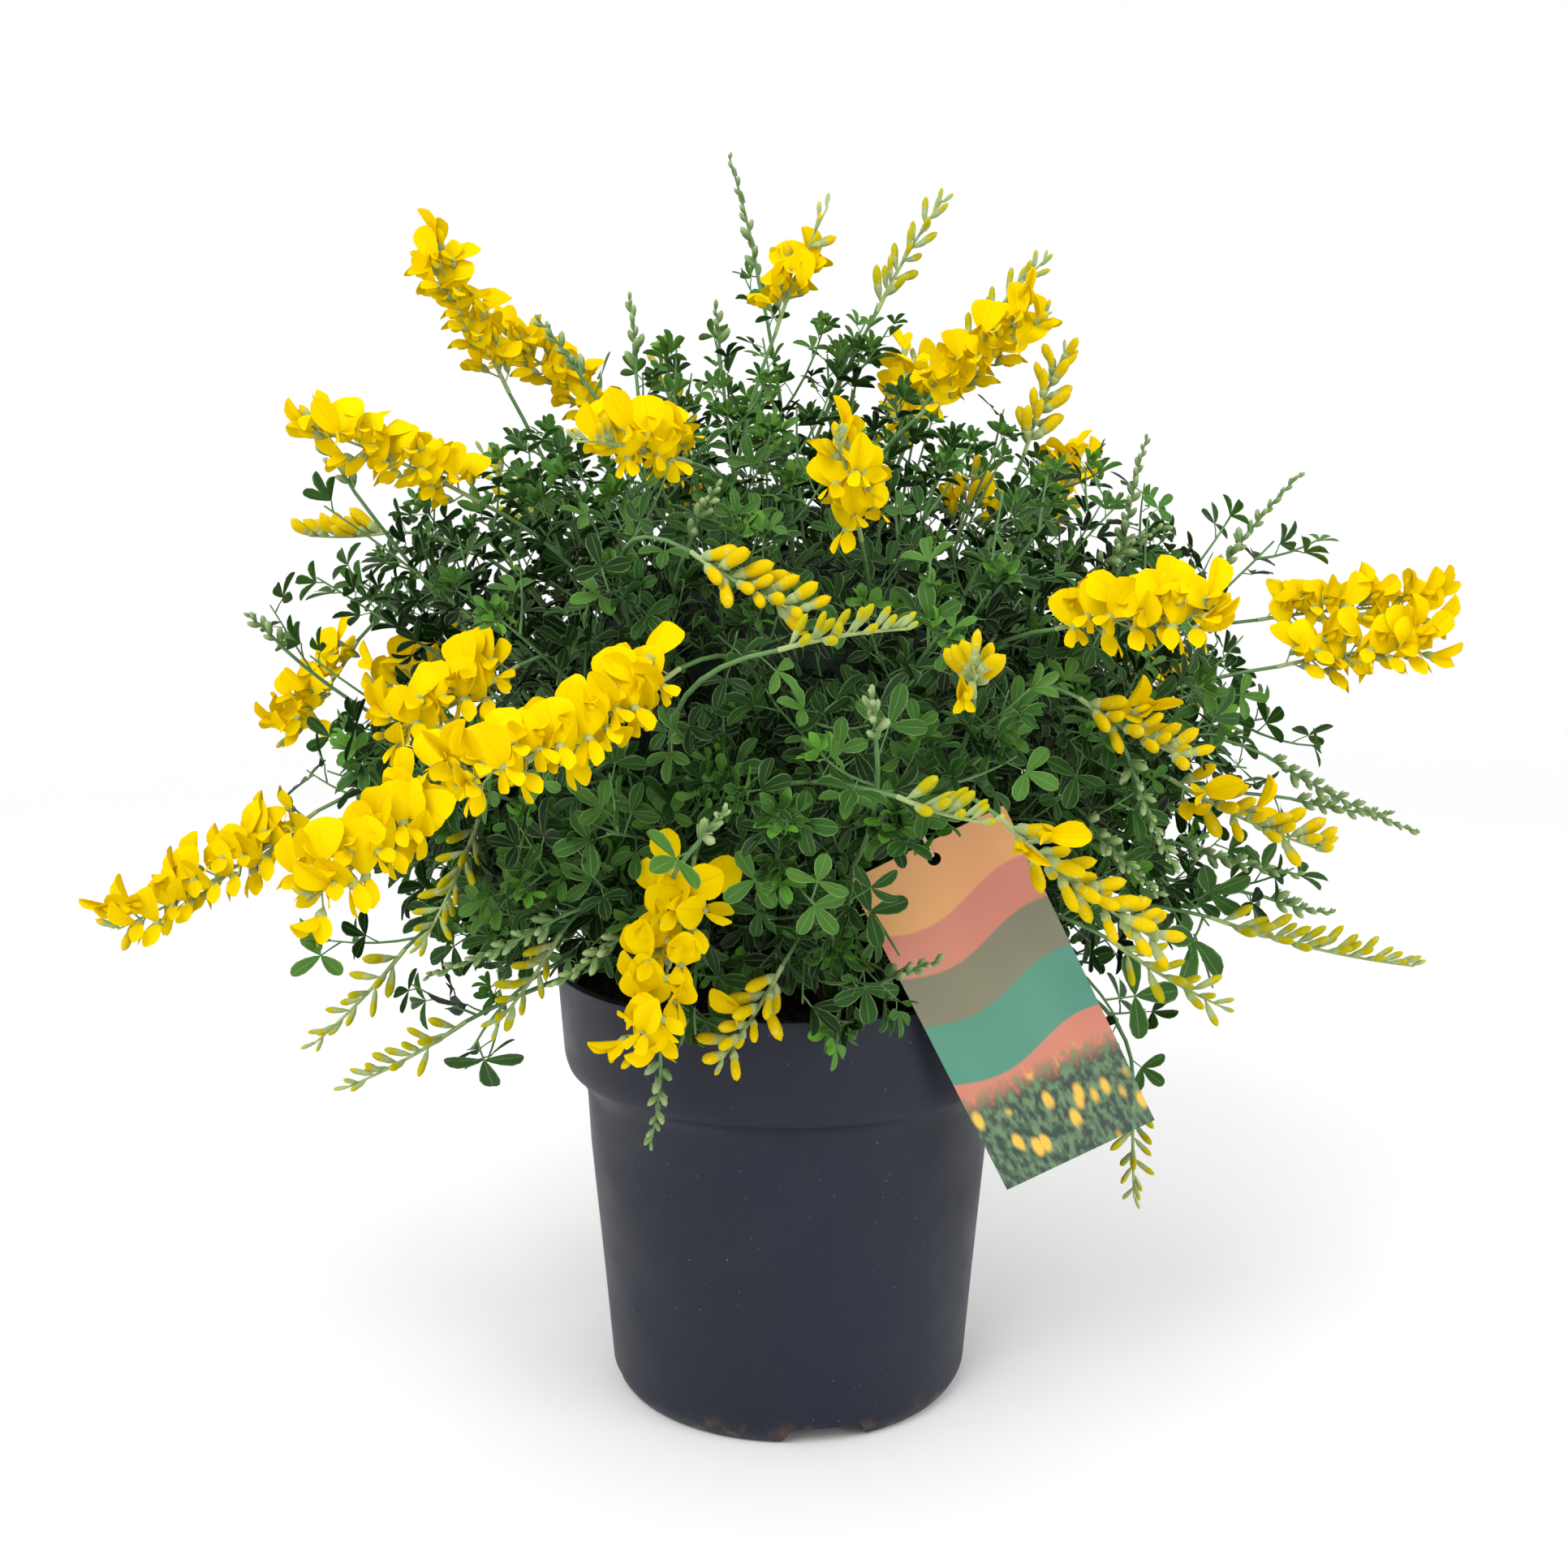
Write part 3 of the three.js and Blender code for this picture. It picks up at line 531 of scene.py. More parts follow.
def leaf_material(name, dark, middle, light):
    """A blade from dark to light by its tone, with a pale rim and midrib."""
    look = Look(name, middle, 0.55, Specular_IOR_Level=0.15)
    tone = look.tone()
    # The tone carries painted shade and light on crown leaves, and tone that differs at random on young
    # ones.
    body = look.mix(look.ramp(tone, 0.0, 0.72), dark, middle)
    body = look.mix(look.ramp(tone, 0.66, 1.0), body, light)
    body = look.mix(look.times(look.noise(60.0), 0.6), body, dark)
    across = look.from_midrib()
    rib = look.ramp(across, 0.05, 0.0)
    rim = look.ramp(across, 0.40, 0.50)
    body = look.mix(look.times(rib, 0.35), body, LEAF_EDGE)
    body = look.mix(look.times(rim, 0.55), body, LEAF_EDGE)
    return look.done(body)


def stem_material():
    """A green stem with pale ridges along it."""
    look = Look("stem", STEM_COLOUR, 0.6)
    ridges = look.math("SINE", look.times(look.axis(0), 31.4))
    pale = tuple(c * 1.7 + 0.02 for c in STEM_COLOUR)
    body = look.mix(look.ramp(ridges, -0.2, 1.0), STEM_COLOUR, pale)
    body = look.mix(look.patches(90.0, 0.35, 0.7), body, STEM_COLOUR)
    return look.done(body)


def petal_material():
    """Thin yellow petals; a faint painted glow stands for the light that shines through them, and painted
    shade darkens each petal's crease.
    """
    look = Look("petal", PETAL_COLOUR, 0.7, Specular_IOR_Level=0.0,
                Emission_Color=PETAL_COLOUR, Emission_Strength=PETAL_GLOW)
    # painted shade along each petal's crease, and a deeper yellow towards its root
    crease_shade = look.times(look.ramp(look.from_midrib(), 0.05, 0.0), 0.6)
    base = look.times(look.ramp(look.axis(1), 0.30, 0.0), 0.5)
    body = look.mix(look.math("MAXIMUM", crease_shade, base), PETAL_COLOUR, PETAL_DEEP_AND_SHADE)
    body = look.mix(look.times(look.tone(), 0.6), body, PETAL_PALE)
    return look.done(body)


def bud_material(name, base_colour, tip_colour, start, end, delay):
    """Silky green at the base, running into the tip colour along v; tone delays the change."""
    look = Look(name, tip_colour, 0.7, Specular_IOR_Level=0.03)
    hair = look.math("SUBTRACT", look.times(look.noise(700.0), 0.16), 0.08)
    along = look.math("ADD", look.axis(1), hair)
    along = look.math("SUBTRACT", along, look.times(look.tone(), delay))
    body = look.mix(look.ramp(along, start, end), base_colour, tip_colour)
    silk = look.times(look.patches(500.0, 0.55, 0.8), 0.4)
    body = look.mix(silk, body, tuple(c * 1.6 for c in base_colour))
    return look.done(body)


def pot_material():
    """Dark moulded plastic, a little cloudy, with specks of dust and mud at its foot."""
    look = Look("pot_plastic", POT_COLOUR, 0.46, Specular_IOR_Level=0.32)
    cloudy = look.patches(14.0, 0.3, 0.75)
    body = look.mix(cloudy, POT_COLOUR, tuple(c * 1.25 for c in POT_COLOUR))
    dust = look.patches(620.0, 0.76, 0.82, 1.0)
    body = look.mix(look.times(dust, 0.5), body, POT_DUST)
    low = look.ramp(look.axis(2, "Object"), 0.016, 0.001)
    mud = look.times(low, look.patches(75.0, 0.52, 0.70))
    body = look.mix(look.times(mud, 0.7), body, POT_MUD)
    look.feed("Roughness", look.patches(30.0, -1.6, 2.6))
    look.bump(look.noise(900.0, 2.0), 0.12, 0.0004)
    return look.done(body)


def mottled_material(name, colour, colours, roughness, patches, relief=None):
    """Dark and light patches by scale and limits; relief: a bump's scale, detail, strength, depth."""
    look = Look(name, colour, roughness)
    if relief is not None:
        scale, detail, strength, depth = relief
        look.bump(look.noise(scale, detail), strength, depth)
    return look.done(look.mix(look.patches(*patches), *colours))


def paper_material(name, colours, roughness=0.6, scale=260.0):
    """Paper that runs softly between two colours."""
    look = Look(name, colours[0], roughness)
    return look.done(look.mix(look.noise(scale), *colours))


def card_material():
    """A generic print: wavy colour fields across the card, and yellow dots on a dark band at its foot."""
    look = Look("card_print", (0.4, 0.45, 0.3), 0.33, Coat_Weight=0.25, Coat_Roughness=0.25)
    v = look.axis(1)
    wave = look.math("SINE", look.times(look.axis(0), 5.2))
    height = look.math("ADD", v, look.times(wave, 0.035))
    soft = look.noise(1.6, 1.0, "UV")
    fields = (CARD_PEACH, CARD_CORAL, CARD_OLIVE, CARD_TEAL)
    peach, coral, olive, teal = [look.mix(soft, *colours) for colours in fields]
    body = look.mix(look.ramp(height, 0.82, 0.83), coral, peach)
    for edge, field in ((0.70, olive), (0.55, teal), (0.36, coral)):
        body = look.mix(look.ramp(height, edge, edge - 0.01), body, field)
    tangle = look.noise(26.0, 6.0, "UV")
    meadow = look.mix(look.ramp(tangle, 0.38, 0.66), *CARD_MEADOW)
    cells = look.node("TexVoronoi", {"Scale": 10.0, "Vector": look.coordinate("UV")}, "Distance")
    chosen = look.ramp(look.noise(5.0, 1.0, "UV"), 0.42, 0.50)
    dots = look.times(look.ramp(cells, 0.42, 0.20), chosen)
    meadow = look.mix(dots, meadow, CARD_DOTS)
    edge = look.math("ADD", v, look.times(tangle, -0.16))
    return look.done(look.mix(look.ramp(edge, 0.24, 0.16), body, meadow))


# Plant parts in their own small frames: y runs outward from the root, z is the upper side

def leaflet(length, width, fold, droop):
    """An obovate blade, creased along its midrib."""
    along = np.array([0.0, 0.16, 0.42, 0.68, 0.88, 0.975])
    half = np.array([0.03, 0.42, 0.82, 1.0, 0.78, 0.38]) * width / 2
    rows = []
    for v, w in zip(along, half):
        bend = -droop * length * v * v
        rim = bend + fold * w
        rows.append([(-w, v * length, rim), (0, v * length, bend), (w, v * length, rim)])
    rows.append([(0, length, -droop * length)] * 3)
    grid = np.array(rows)
    v = np.append(along, 1.0)
    uv = np.stack([np.tile([0.0, 0.5, 1.0], (len(v), 1)), np.repeat(v[:, None], 3, axis=1)], axis=2)
    blade = sheet(grid, uv)
    solid = [len(set(map(tuple, np.round(blade.points[face], 9)))) == 3 for face in blade.faces]
    return Shape(blade.points, blade.faces[solid], blade.uv)


def rotation(axis, degrees):
    return np.array(Matrix.Rotation(math.radians(degrees), 3, axis))


def moved(shape, turn, place=(0, 0, 0)):
    return Shape(shape.points @ turn.T + place, shape.faces, shape.uv, shape.material)


def trifoliate(spread, lift, petiole, width, fold=0.35, droop=0.12):
    """Three leaflets of about unit length on a petiole."""
    middle = leaflet(1.0, width, fold, droop)
    side = leaflet(0.9, width * 0.95, fold, droop)
    stalk_line = [(0, 0, 0), (0, petiole * 0.55, 0.02), (0, petiole, 0)]
    stalk = tube(stalk_line, [0.035, 0.028, 0.026], 3, 1, tip=False)
    blades = [moved(blade, rotation("Z", degrees) @ rotation("X", lift), (0, petiole, 0))
              for blade, degrees in ((middle, 0), (side, spread), (side, -spread))]
    return joined([stalk, *blades])


def spindle(length, radius, waist, sides, material, rings=5, bend=0.0):
    """A closed bud, widest at waist, with v along it."""
    t = np.linspace(0.0, 1.0, rings + 1)[:-1]
    rising = np.sin(0.5 * math.pi * (0.15 + 0.85 * t / waist))
    closing = np.cos(0.5 * math.pi * (np.clip(t - waist, 0, 1) / (1 - waist)) ** 1.3)
    swell = np.where(t < waist, rising, closing)
    path = np.stack([np.zeros_like(t), t * length, bend * length * t * t], axis=1)
    body = tube(path, radius * swell, sides, material)
    body.uv[:, 1] = body.points[:, 1] / length
    return body


def petal(length, width, fold, lean, columns, rows, notch=0.06):
    """An obovate petal that stands up from its root along z, its halves folded forward to +y."""
    t = np.linspace(0.0, 1.0, rows)
    s = np.linspace(-1.0, 1.0, columns)
    half = width / 2 * np.interp(t, PETAL_STEPS, PETAL_WIDTHS)
    across, forward = math.cos(math.radians(fold)), math.sin(math.radians(fold))
    grid = np.zeros((rows, columns, 3))
    for r in range(rows):
        dip = notch * (1 - np.abs(s)) * t[r] ** 4 + 0.10 * s * s * t[r] ** 3
        grid[r, :, 0] = s * half[r] * across
        grid[r, :, 1] = forward * half[r] * np.abs(s) ** 1.3 - lean * length * t[r] ** 1.5
        grid[r, :, 2] = length * t[r] * (1.0 - dip)
    uv = np.stack(np.meshgrid((s + 1) / 2, t), axis=2)
    return sheet(grid, uv)


def pea_flower(openness, fold):
    """One flower from its calyx: the banner stands up, and the wings hang forward over the keel."""
    width = BANNER_WIDTH + BANNER_SPREAD * openness
    banner = petal(BANNER_LENGTH, width, fold, 0.04 + 0.16 * openness, columns=7, rows=7)
    banner = moved(banner, rotation("X", -66 + 64 * openness), (0, THROAT, 0.0008))
    wings = []
    for hand in (-1, 1):
        wing = petal(*WING_SIZE, -20, -0.10, columns=4, rows=5, notch=0.0)
        turn = rotation("X", -98 - 30 * openness) @ rotation("Z", hand * (58 - 26 * openness))
        turn = rotation("Z", -hand * 8 * openness) @ turn
        wings.append(moved(wing, turn, (hand * 0.0013, THROAT, 0)))
    keel = spindle(*KEEL_SIZE, 0.55, 5, 0, rings=4, bend=0.10)
    turn = rotation("X", -8 - 28 * openness) @ np.diag([0.8, 1.0, 1.25])
    keel = moved(keel, turn, (0, THROAT - 0.001, -0.0008))
    keel.uv[:, 1] = 0.3 + 0.6 * keel.uv[:, 1]
    calyx = spindle(*CALYX_SIZE, 0.62, 6, 1, rings=4)
    return joined([banner, *wings, keel, calyx])


def closed_bud(length, radius, waist, calyx_length):
    """A closed bud on its pedicel, flattened at its sides, in a silky calyx; material 2 is its tip."""
    bud = spindle(length, radius, waist, 8, 2, rings=7, bend=0.10)
    bud = moved(bud, np.diag([0.76, 1, 1]), (0, PEDICEL, 0))
    calyx = spindle(calyx_length, 0.88 * radius, 0.72, 6, 1, rings=5)
    calyx = moved(calyx, np.diag([0.80, 1, 1]), (0, PEDICEL - 0.0006, 0))
    stalk = tube([(0, 0, 0), (0, PEDICEL, 0)], PEDICEL_RADIUS, 4, 1, tip=False)
    return joined([bud, calyx, stalk])


def green_bud():
    """A silky bud with one bract beside it."""
    bud = spindle(0.0066, 0.00125, 0.45, 5, 3, rings=4, bend=0.08)
    bract = spindle(0.0052, 0.00045, 0.4, 3, 3, rings=3)
    return joined([bud, moved(bract, rotation("Z", 24) @ rotation("X", 16), (0.0009, 0.0004, 0.0006))])


FLAT_LEAVES = [
    trifoliate(78, 10, 0.62, 0.50),
    trifoliate(92, 2, 0.70, 0.48, fold=0.25, droop=0.05),
    trifoliate(68, 18, 0.50, 0.46, fold=0.45, droop=0.18),
]
FOLDED_LEAVES = [
    trifoliate(66, 22, 0.50, 0.40, fold=0.75, droop=0.20),
    trifoliate(58, 34, 0.40, 0.36, fold=1.10, droop=0.02),
    trifoliate(74, 12, 0.80, 0.42, fold=0.55, droop=0.28),
]
FLOWERS = [
    pea_flower(openness, fold)
    for openness, fold in ((1.0, -30), (0.9, -12), (0.75, 28), (0.50, 46), (0.1, 66))
]
RIPE_BUD = closed_bud(0.0150, 0.0026, 0.66, 0.0058)
YOUNG_BUD = closed_bud(0.0126, 0.0018, 0.60, 0.0068)
GREEN_BUD = green_bud()

LEAF = leaf_material("leaf", LEAF_DARK_AND_SHADE, LEAF_MID, LEAF_LIGHT_AND_LIT)
YOUNG = leaf_material("leaf_young", LEAF_MID, LEAF_LIGHT_AND_LIT, LEAF_YOUNG)
STEM = stem_material()
PETAL = petal_material()
CALYX = bud_material("calyx", SILKY_BUD, (0.50, 0.50, 0.12), 0.5, 1.2, 0.2)
RIPE = bud_material("bud_yellow", SILKY_BUD, BUD_YELLOW, 0.16, 0.34, 0.75)
OLIVE = bud_material("bud_olive", SILKY_BUD, BUD_OLIVE, 0.26, 0.46, 0.40)
SPIKE = bud_material("bud_green", (0.16, 0.26, 0.09), (0.34, 0.42, 0.20), 0.2, 0.9, 0.2)


# Places round the crown

def crown_direction(azimuth, elevation):
    return np.array([math.cos(elevation) * math.cos(azimuth),
                     math.cos(elevation) * math.sin(azimuth), math.sin(elevation)])


def crown_reach(direction):
    """How far the leaves reach from the crown's centre in a direction."""
    elevation = math.degrees(math.asin(direction[2]))
    left = np.interp(elevation, CROWN_ELEVATIONS, CROWN_LEFT)
    right = np.interp(elevation, CROWN_ELEVATIONS, CROWN_RIGHT)
    flat = unit(np.array([direction[0], direction[1], 0.0]))
    share = (1 + flat[0]) / 2
    front = 1 - (1 - CROWN_FRONT_SHARE) * max(0.0, -flat[1]) * math.cos(math.radians(elevation))
    return (left * (1 - share) + right * share) * front


def crown_depth(place):
    """1 on the crown's surface, less inside."""
    away = place - CROWN
    return np.linalg.norm(away) / crown_reach(unit(away))


def outward_from_crown(place):
    return unit(place - CROWN)


def metres(place):
    return np.array(place) * MM


def back_racemes():
    racemes = []
    for elevation, azimuths in BACK_ROWS:
        for azimuth in azimuths:
            outward = crown_direction(math.radians(azimuth), math.radians(elevation))
            height = BACK_ABOVE if outward[2] > 0 else BACK_BELOW
            base = CROWN + outward * (BACK_RADIUS, BACK_RADIUS, height)
            rise = 0.5 if elevation > 20 else -0.35
            racemes.append((base, base + BACK_LENGTH * unit(outward + (0, 0, rise))))
    return racemes


def all_racemes():
    """Every raceme as base, tip, whether it is in open flower, and its ripe share."""
    racemes = []
    for table, is_open in ((OPEN_RACEMES, True), (BUD_RACEMES, False)):
        racemes += [(metres(base), metres(tip), is_open, share) for base, tip, share in table]
    for k, (base, tip) in enumerate(back_racemes()):
        is_open = k % 2 == 0
        racemes.append((base, tip, is_open, BACK_OPEN_SHARE if is_open else BACK_RIPE_SHARE))
    return racemes


RACEMES = all_racemes()
SPIKES = [(metres(base), metres(tip)) for base, tip in GREEN_SPIKES]
STRAYS = [(metres(root), metres(tip)) for root, tip in STRAY_SHOOTS]
SHOWN_RACEMES = len(OPEN_RACEMES) + len(BUD_RACEMES)

CARD_UP = unit(CARD_HOLE - CARD_FOOT)
CARD_ACROSS = unit(np.cross(CARD_UP, (0.0, -1.0, 0.0)))
CARD_FACE = np.cross(CARD_ACROSS, CARD_UP)
LOOP_FOOT = CARD_HOLE + CARD_UP * (CARD_HOLE_RADIUS - LOOP_WIRE - LOOP_PLAY)


# Keeping leaves off the pot, the card and the flowers

class Segments:
    """Straight segments with a reach, to test points against."""

    def __init__(self, starts, ends, reach):
        self.starts = np.array(starts)
        self.lines = np.array(ends) - self.starts
        self.reach = np.array(reach)

    def nearest(self, place):
        """Distance to each segment, and how far along it the nearest point lies."""
        away = place - self.starts
        along = np.clip((away * self.lines).sum(1) / (self.lines ** 2).sum(1), 0, 1)
        return np.linalg.norm(away - along[:, None] * self.lines, axis=1), along


def seen_from_camera(place):
    """Where a place falls in the photograph's view, and how deep it lies."""
    away = place - CAMERA_PLACE
    ahead = np.array([0.0, math.cos(CAMERA_PITCH), -math.sin(CAMERA_PITCH)])
    over = np.array([0.0, math.sin(CAMERA_PITCH), math.cos(CAMERA_PITCH)])
    depth = away @ ahead
    return np.array([away[0] / depth, away @ over / depth]), depth


def flower_view():
    """The shown racemes and spikes as the camera sees them, with their depths."""
    pairs = []
    for base, tip, is_open, _ in RACEMES[:SHOWN_RACEMES]:
        pairs.append((base, tip, FLOWER_REACH if is_open else BUD_REACH_IN_VIEW))
    pairs += [(base, tip, SPIKE_REACH) for base, tip in SPIKES]
    starts, start_depths = zip(*[seen_from_camera(base) for base, _, _ in pairs])
    ends, end_depths = zip(*[seen_from_camera(tip) for _, tip, _ in pairs])
    view = Segments(starts, ends, [reach for _, _, reach in pairs])
    return view, np.array(start_depths), np.array(end_depths)


FLOWERS_IN_SPACE = Segments([r[0] for r in RACEMES], [r[1] for r in RACEMES],
                            [FLOWER_REACH if r[2] else BUD_REACH for r in RACEMES])
FLOWERS_IN_VIEW, VIEW_START_DEPTHS, VIEW_END_DEPTHS = flower_view()


def hides_flowers(place):
    """True where a leaf would stand between the camera and a raceme that the photograph shows."""
    spot, depth = seen_from_camera(place)
    gap, along = FLOWERS_IN_VIEW.nearest(spot)
    depths = VIEW_START_DEPTHS + along * (VIEW_END_DEPTHS - VIEW_START_DEPTHS)
    return bool(((gap * depths < FLOWERS_IN_VIEW.reach + 0.003) & (depth < depths)).any())


def on_card(place):
    """Where a place lies on the card: to its right, up from its hole and out from its face."""
    away = place - CARD_HOLE
    return away @ CARD_ACROSS, away @ CARD_UP, away @ CARD_FACE


def touches_card(place, margin):
    across, up, out = on_card(place)
    return (abs(out) < margin and abs(across) < CARD_WIDTH / 2 + margin and
            CARD_LOW - margin < up < CARD_HOLE_INSET + margin)


def hides_card(place):
    """True where a leaf would stand before the card, apart from the card's upper left corner."""
    ray = place - CAMERA_PLACE
    reach = np.dot(CARD_HOLE - CAMERA_PLACE, CARD_FACE) / np.dot(ray, CARD_FACE)
    if reach < 1:
        return False
    across, up, _ = on_card(CAMERA_PLACE + reach * ray)
    covered = across < CARD_COVERED[0] and up > CARD_COVERED[1]
    return abs(across) < CARD_WIDTH / 2 and CARD_LOW < up < CARD_HOLE_INSET and not covered


def inside_pot(place, margin):
    return math.hypot(place[0], place[1]) < RIM_RADIUS + margin and place[2] < POT_HEIGHT + margin


def over_bare_rim(place):
    """The front of the pot is bare below its rim, and the left of the rim with it."""
    bare_below = BARE_BELOW_LEFT if place[0] < BARE_LEFT_OF else BARE_BELOW
    return abs(place[0] + 0.010) < 0.115 and place[1] < 0 and place[2] < bare_below


def clear_for_leaf(place, margin):
    if inside_pot(place, margin) or touches_card(place, 0.003 + margin):
        return False
    if hides_card(place) or over_bare_rim(place):
        return False
    gap, _ = FLOWERS_IN_SPACE.nearest(place)
    if (gap < FLOWERS_IN_SPACE.reach + 0.3 * margin).any():
        return False
    return not hides_flowers(place) or random.random() < HIDING_SHARE


# Racemes

def raceme_line(base, tip, count):
    """The stalk's line: it leaves along its shoot and rises or sags a little."""
    length = np.linalg.norm(tip - base)
    ahead = unit(tip - base)
    sag = 0.05 if ahead[2] > 0 else -0.06
    middle = (base + tip) / 2 + length * sag * square_to(UP, ahead)
    return bent_line(base, middle, tip, count)


def along_line(line, share):
    """The point at a share of a line's points, and the line's direction there."""
    steps = np.linspace(0.0, 1.0, len(line))
    index = min(len(line) - 2, int(share * (len(line) - 1)))
    place = np.array([np.interp(share, steps, line[:, i]) for i in range(3)])
    return place, unit(line[index + 1] - line[index])


def bud_heading(ahead, outward, turn, lean):
    """Buds stand on the upper side of a level stalk, and all round an upright one."""
    level = 1 - abs(ahead[2])
    ring = around(ahead, turn, math.radians(90))
    sideways = unit(ring * (0.95 - 0.45 * level) + UP * (0.1 + 0.55 * level) + 0.30 * outward)
    lean = math.radians(lean)
    return unit(math.cos(lean) * ahead + math.sin(lean) * square_to(sideways, ahead))


def add_bud(stock, line, share, ripe, turn, outward, scale, late):
    """A bud at a share of the stalk; beyond the ripe share it is small, silky and close to the stalk."""
    place, ahead = along_line(line, share)
    unripe = np.clip((share - ripe) / max(0.12, 1 - ripe), 0, 1) ** late if share > ripe else 0.0
    fresh = share / max(ripe, 0.1) if share < ripe else 1.0
    size = scale * (1.12 - 0.22 * fresh - 0.40 * unripe) * random.uniform(0.88, 1.12)
    tone = np.clip(0.04 + 0.26 * fresh ** 2 + 0.75 * unripe + random.normal(0, 0.08), 0, 1)
    heading = bud_heading(ahead, outward, turn, random.uniform(32, 54) - 18 * unripe)
    shape = RIPE_BUD if (late == 2 or ripe >= RIPE_FROM) and unripe < 0.3 else YOUNG_BUD
    upper = UP + 0.3 * ahead + random.normal(0, 0.2, 3)
    stock.add(shape, place, basis(heading, upper), size, tone)


def add_flower(stock, line, share, aged, turn, outward):
    """A flower on its pedicel, its face turned to the light and its banner towards the raceme's tip."""
    place, ahead = along_line(line, share)
    ring = around(ahead, turn, math.radians(random.uniform(60, 80)))
    ring = unit(ring + 0.15 * UP + 0.25 * outward)
    seat = place + ring * random.uniform(0.0045, 0.0075)
    heading = unit(0.50 * ring + 0.82 * outward + 0.10 * UP + random.normal(0, 0.15, 3))
    banner_up = 0.75 * UP + 0.55 * ahead + random.normal(0, 0.28, 3)
    kind = 4 if aged > 0.96 else 3 if aged > 0.88 else int(random.choice([0, 0, 1, 1, 2, 2, 3]))
    stalk = [place, place + 0.6 * (seat - place), seat]
    stock.add(tube(stalk, FLOWER_STALK_RADII, 4, 1, tip=False))
    size = random.uniform(*FLOWER_SCALES)
    stock.add(FLOWERS[kind], seat, basis(heading, banner_up), size, random.uniform(0, 1))


def bud_spacing(share):
    """Distance between buds, and their scale: the buds stand widest on the youngest racemes."""
    if share < YOUNG_BELOW:
        return 0.0038, 1.10
    return (0.0030, 1.04) if share >= RIPE_FROM else (0.0034, 1.10)


def flower_raceme(name, node, base, tip, is_open, share, outward):
    """A raceme along its stalk: open flowers or ripe buds up to its share, then silky buds."""
    stock = Stock()
    line = raceme_line(base, tip, 14)
    stock.add(tube(line, np.linspace(*STALK_RADII, len(line)), 6, 1))
    spacing, scale = (FLOWER_SPACING, 0.95) if is_open else bud_spacing(share)
    count = int(np.linalg.norm(tip - base) / spacing)
    for k in range(count):
        along = 0.04 + 0.96 * (k + 0.5) / count
        turn = k * GOLDEN_ANGLE + random.normal(0, 0.3)
        opening = share >= 0.9 and along < 0.5 and random.random() < OPENING_CHANCE
        if is_open and along <= share:
            add_flower(stock, line, along, along / share, turn, outward)
        elif opening and not is_open:
            add_flower(stock, line, along, random.choice([0.92, 1.0]), turn, outward)
        elif is_open and k % 2:
            continue
        else:
            add_bud(stock, line, along, share, turn, outward, scale, 2 if is_open else 1.4)
    bud_look = RIPE if is_open or share >= RIPE_FROM else OLIVE
    stock.piece(name, [PETAL, CALYX, bud_look], node, "petal" if is_open else "bud")


def build_racemes():
    for number, (base, tip, is_open, share) in enumerate(RACEMES, start=1):
        outward = outward_from_crown((base + tip) / 2)
        if number <= SHOWN_RACEMES:
            outward = unit(outward + FRONT_LEAN)
        name, node = ("flowers", "raceme") if is_open else ("buds", "bud_raceme")
        flower_raceme(f"{name}_{number:02d}", f"{node}_{number:02d}", base, tip, is_open, share, outward)


# Foliage, gathered by sector of the crown so that each piece stays a sensible size

SECTORS = ["right", "back_right", "back_left", "left", "front_left", "front_right"]
FOLIAGE = {name: Stock() for name in SECTORS}


def sector(place):
    turn = math.degrees(math.atan2(place[1], place[0])) % 360
    return FOLIAGE[SECTORS[int(((turn + 30) % 360) // 60)]]


def leaf_size(place):
    """Leaves are smaller towards the top of the crown."""
    return LEAFLET * np.interp(place[2], (0.22, 0.34, 0.46, 0.54), (1.00, 0.94, 0.76, 0.66))


def leaf_shape(place):
    """Most leaves are flat low in the crown, and folded and narrow near its top."""
    folded = np.interp(place[2], (0.28, 0.48), (0.15, 0.75))
    shapes = FOLDED_LEAVES if random.random() < folded else FLAT_LEAVES
    return shapes[int(random.integers(len(shapes)))]


def add_leaf(root, direction, size, tone, young=False, towards=0.0 * UP):
    """A leaf on its petiole; its blade turns to face outward and up."""
    centre = root + direction * size
    if not clear_for_leaf(centre, 0.7 * size):
        return
    facing = unit(0.9 * outward_from_crown(root) + 0.6 * UP + towards + random.normal(0, 0.38, 3))
    shape = leaf_shape(root)
    if young:
        shape = Shape(shape.points, shape.faces, shape.uv, np.where(shape.material == 0, 2, 1))
    sector(root).add(shape, root, basis(direction, facing), size, tone)


def painted_shade_tone(place):
    """Painted shade and light: dark inside the crown and low down, lighter towards its surface and at its
    top.
    """
    # painted light on the top of the crown
    top = np.interp(place[2], (0.40, 0.50), (0.0, 0.45))
    # painted shade on the low leaves, which sit under the crown
    low = np.interp(place[2], (0.20, 0.27), (-0.55, 0.0))
    return float(np.clip(1.5 * (crown_depth(place) - 0.50) + top + low, 0.0, 1.0))


def spiral(ahead, number, drift, low, high):
    """The heading of a numbered side growth round a stem, at low to high degrees from it."""
    return around(ahead, number * GOLDEN_ANGLE + drift, math.radians(random.uniform(low, high)))


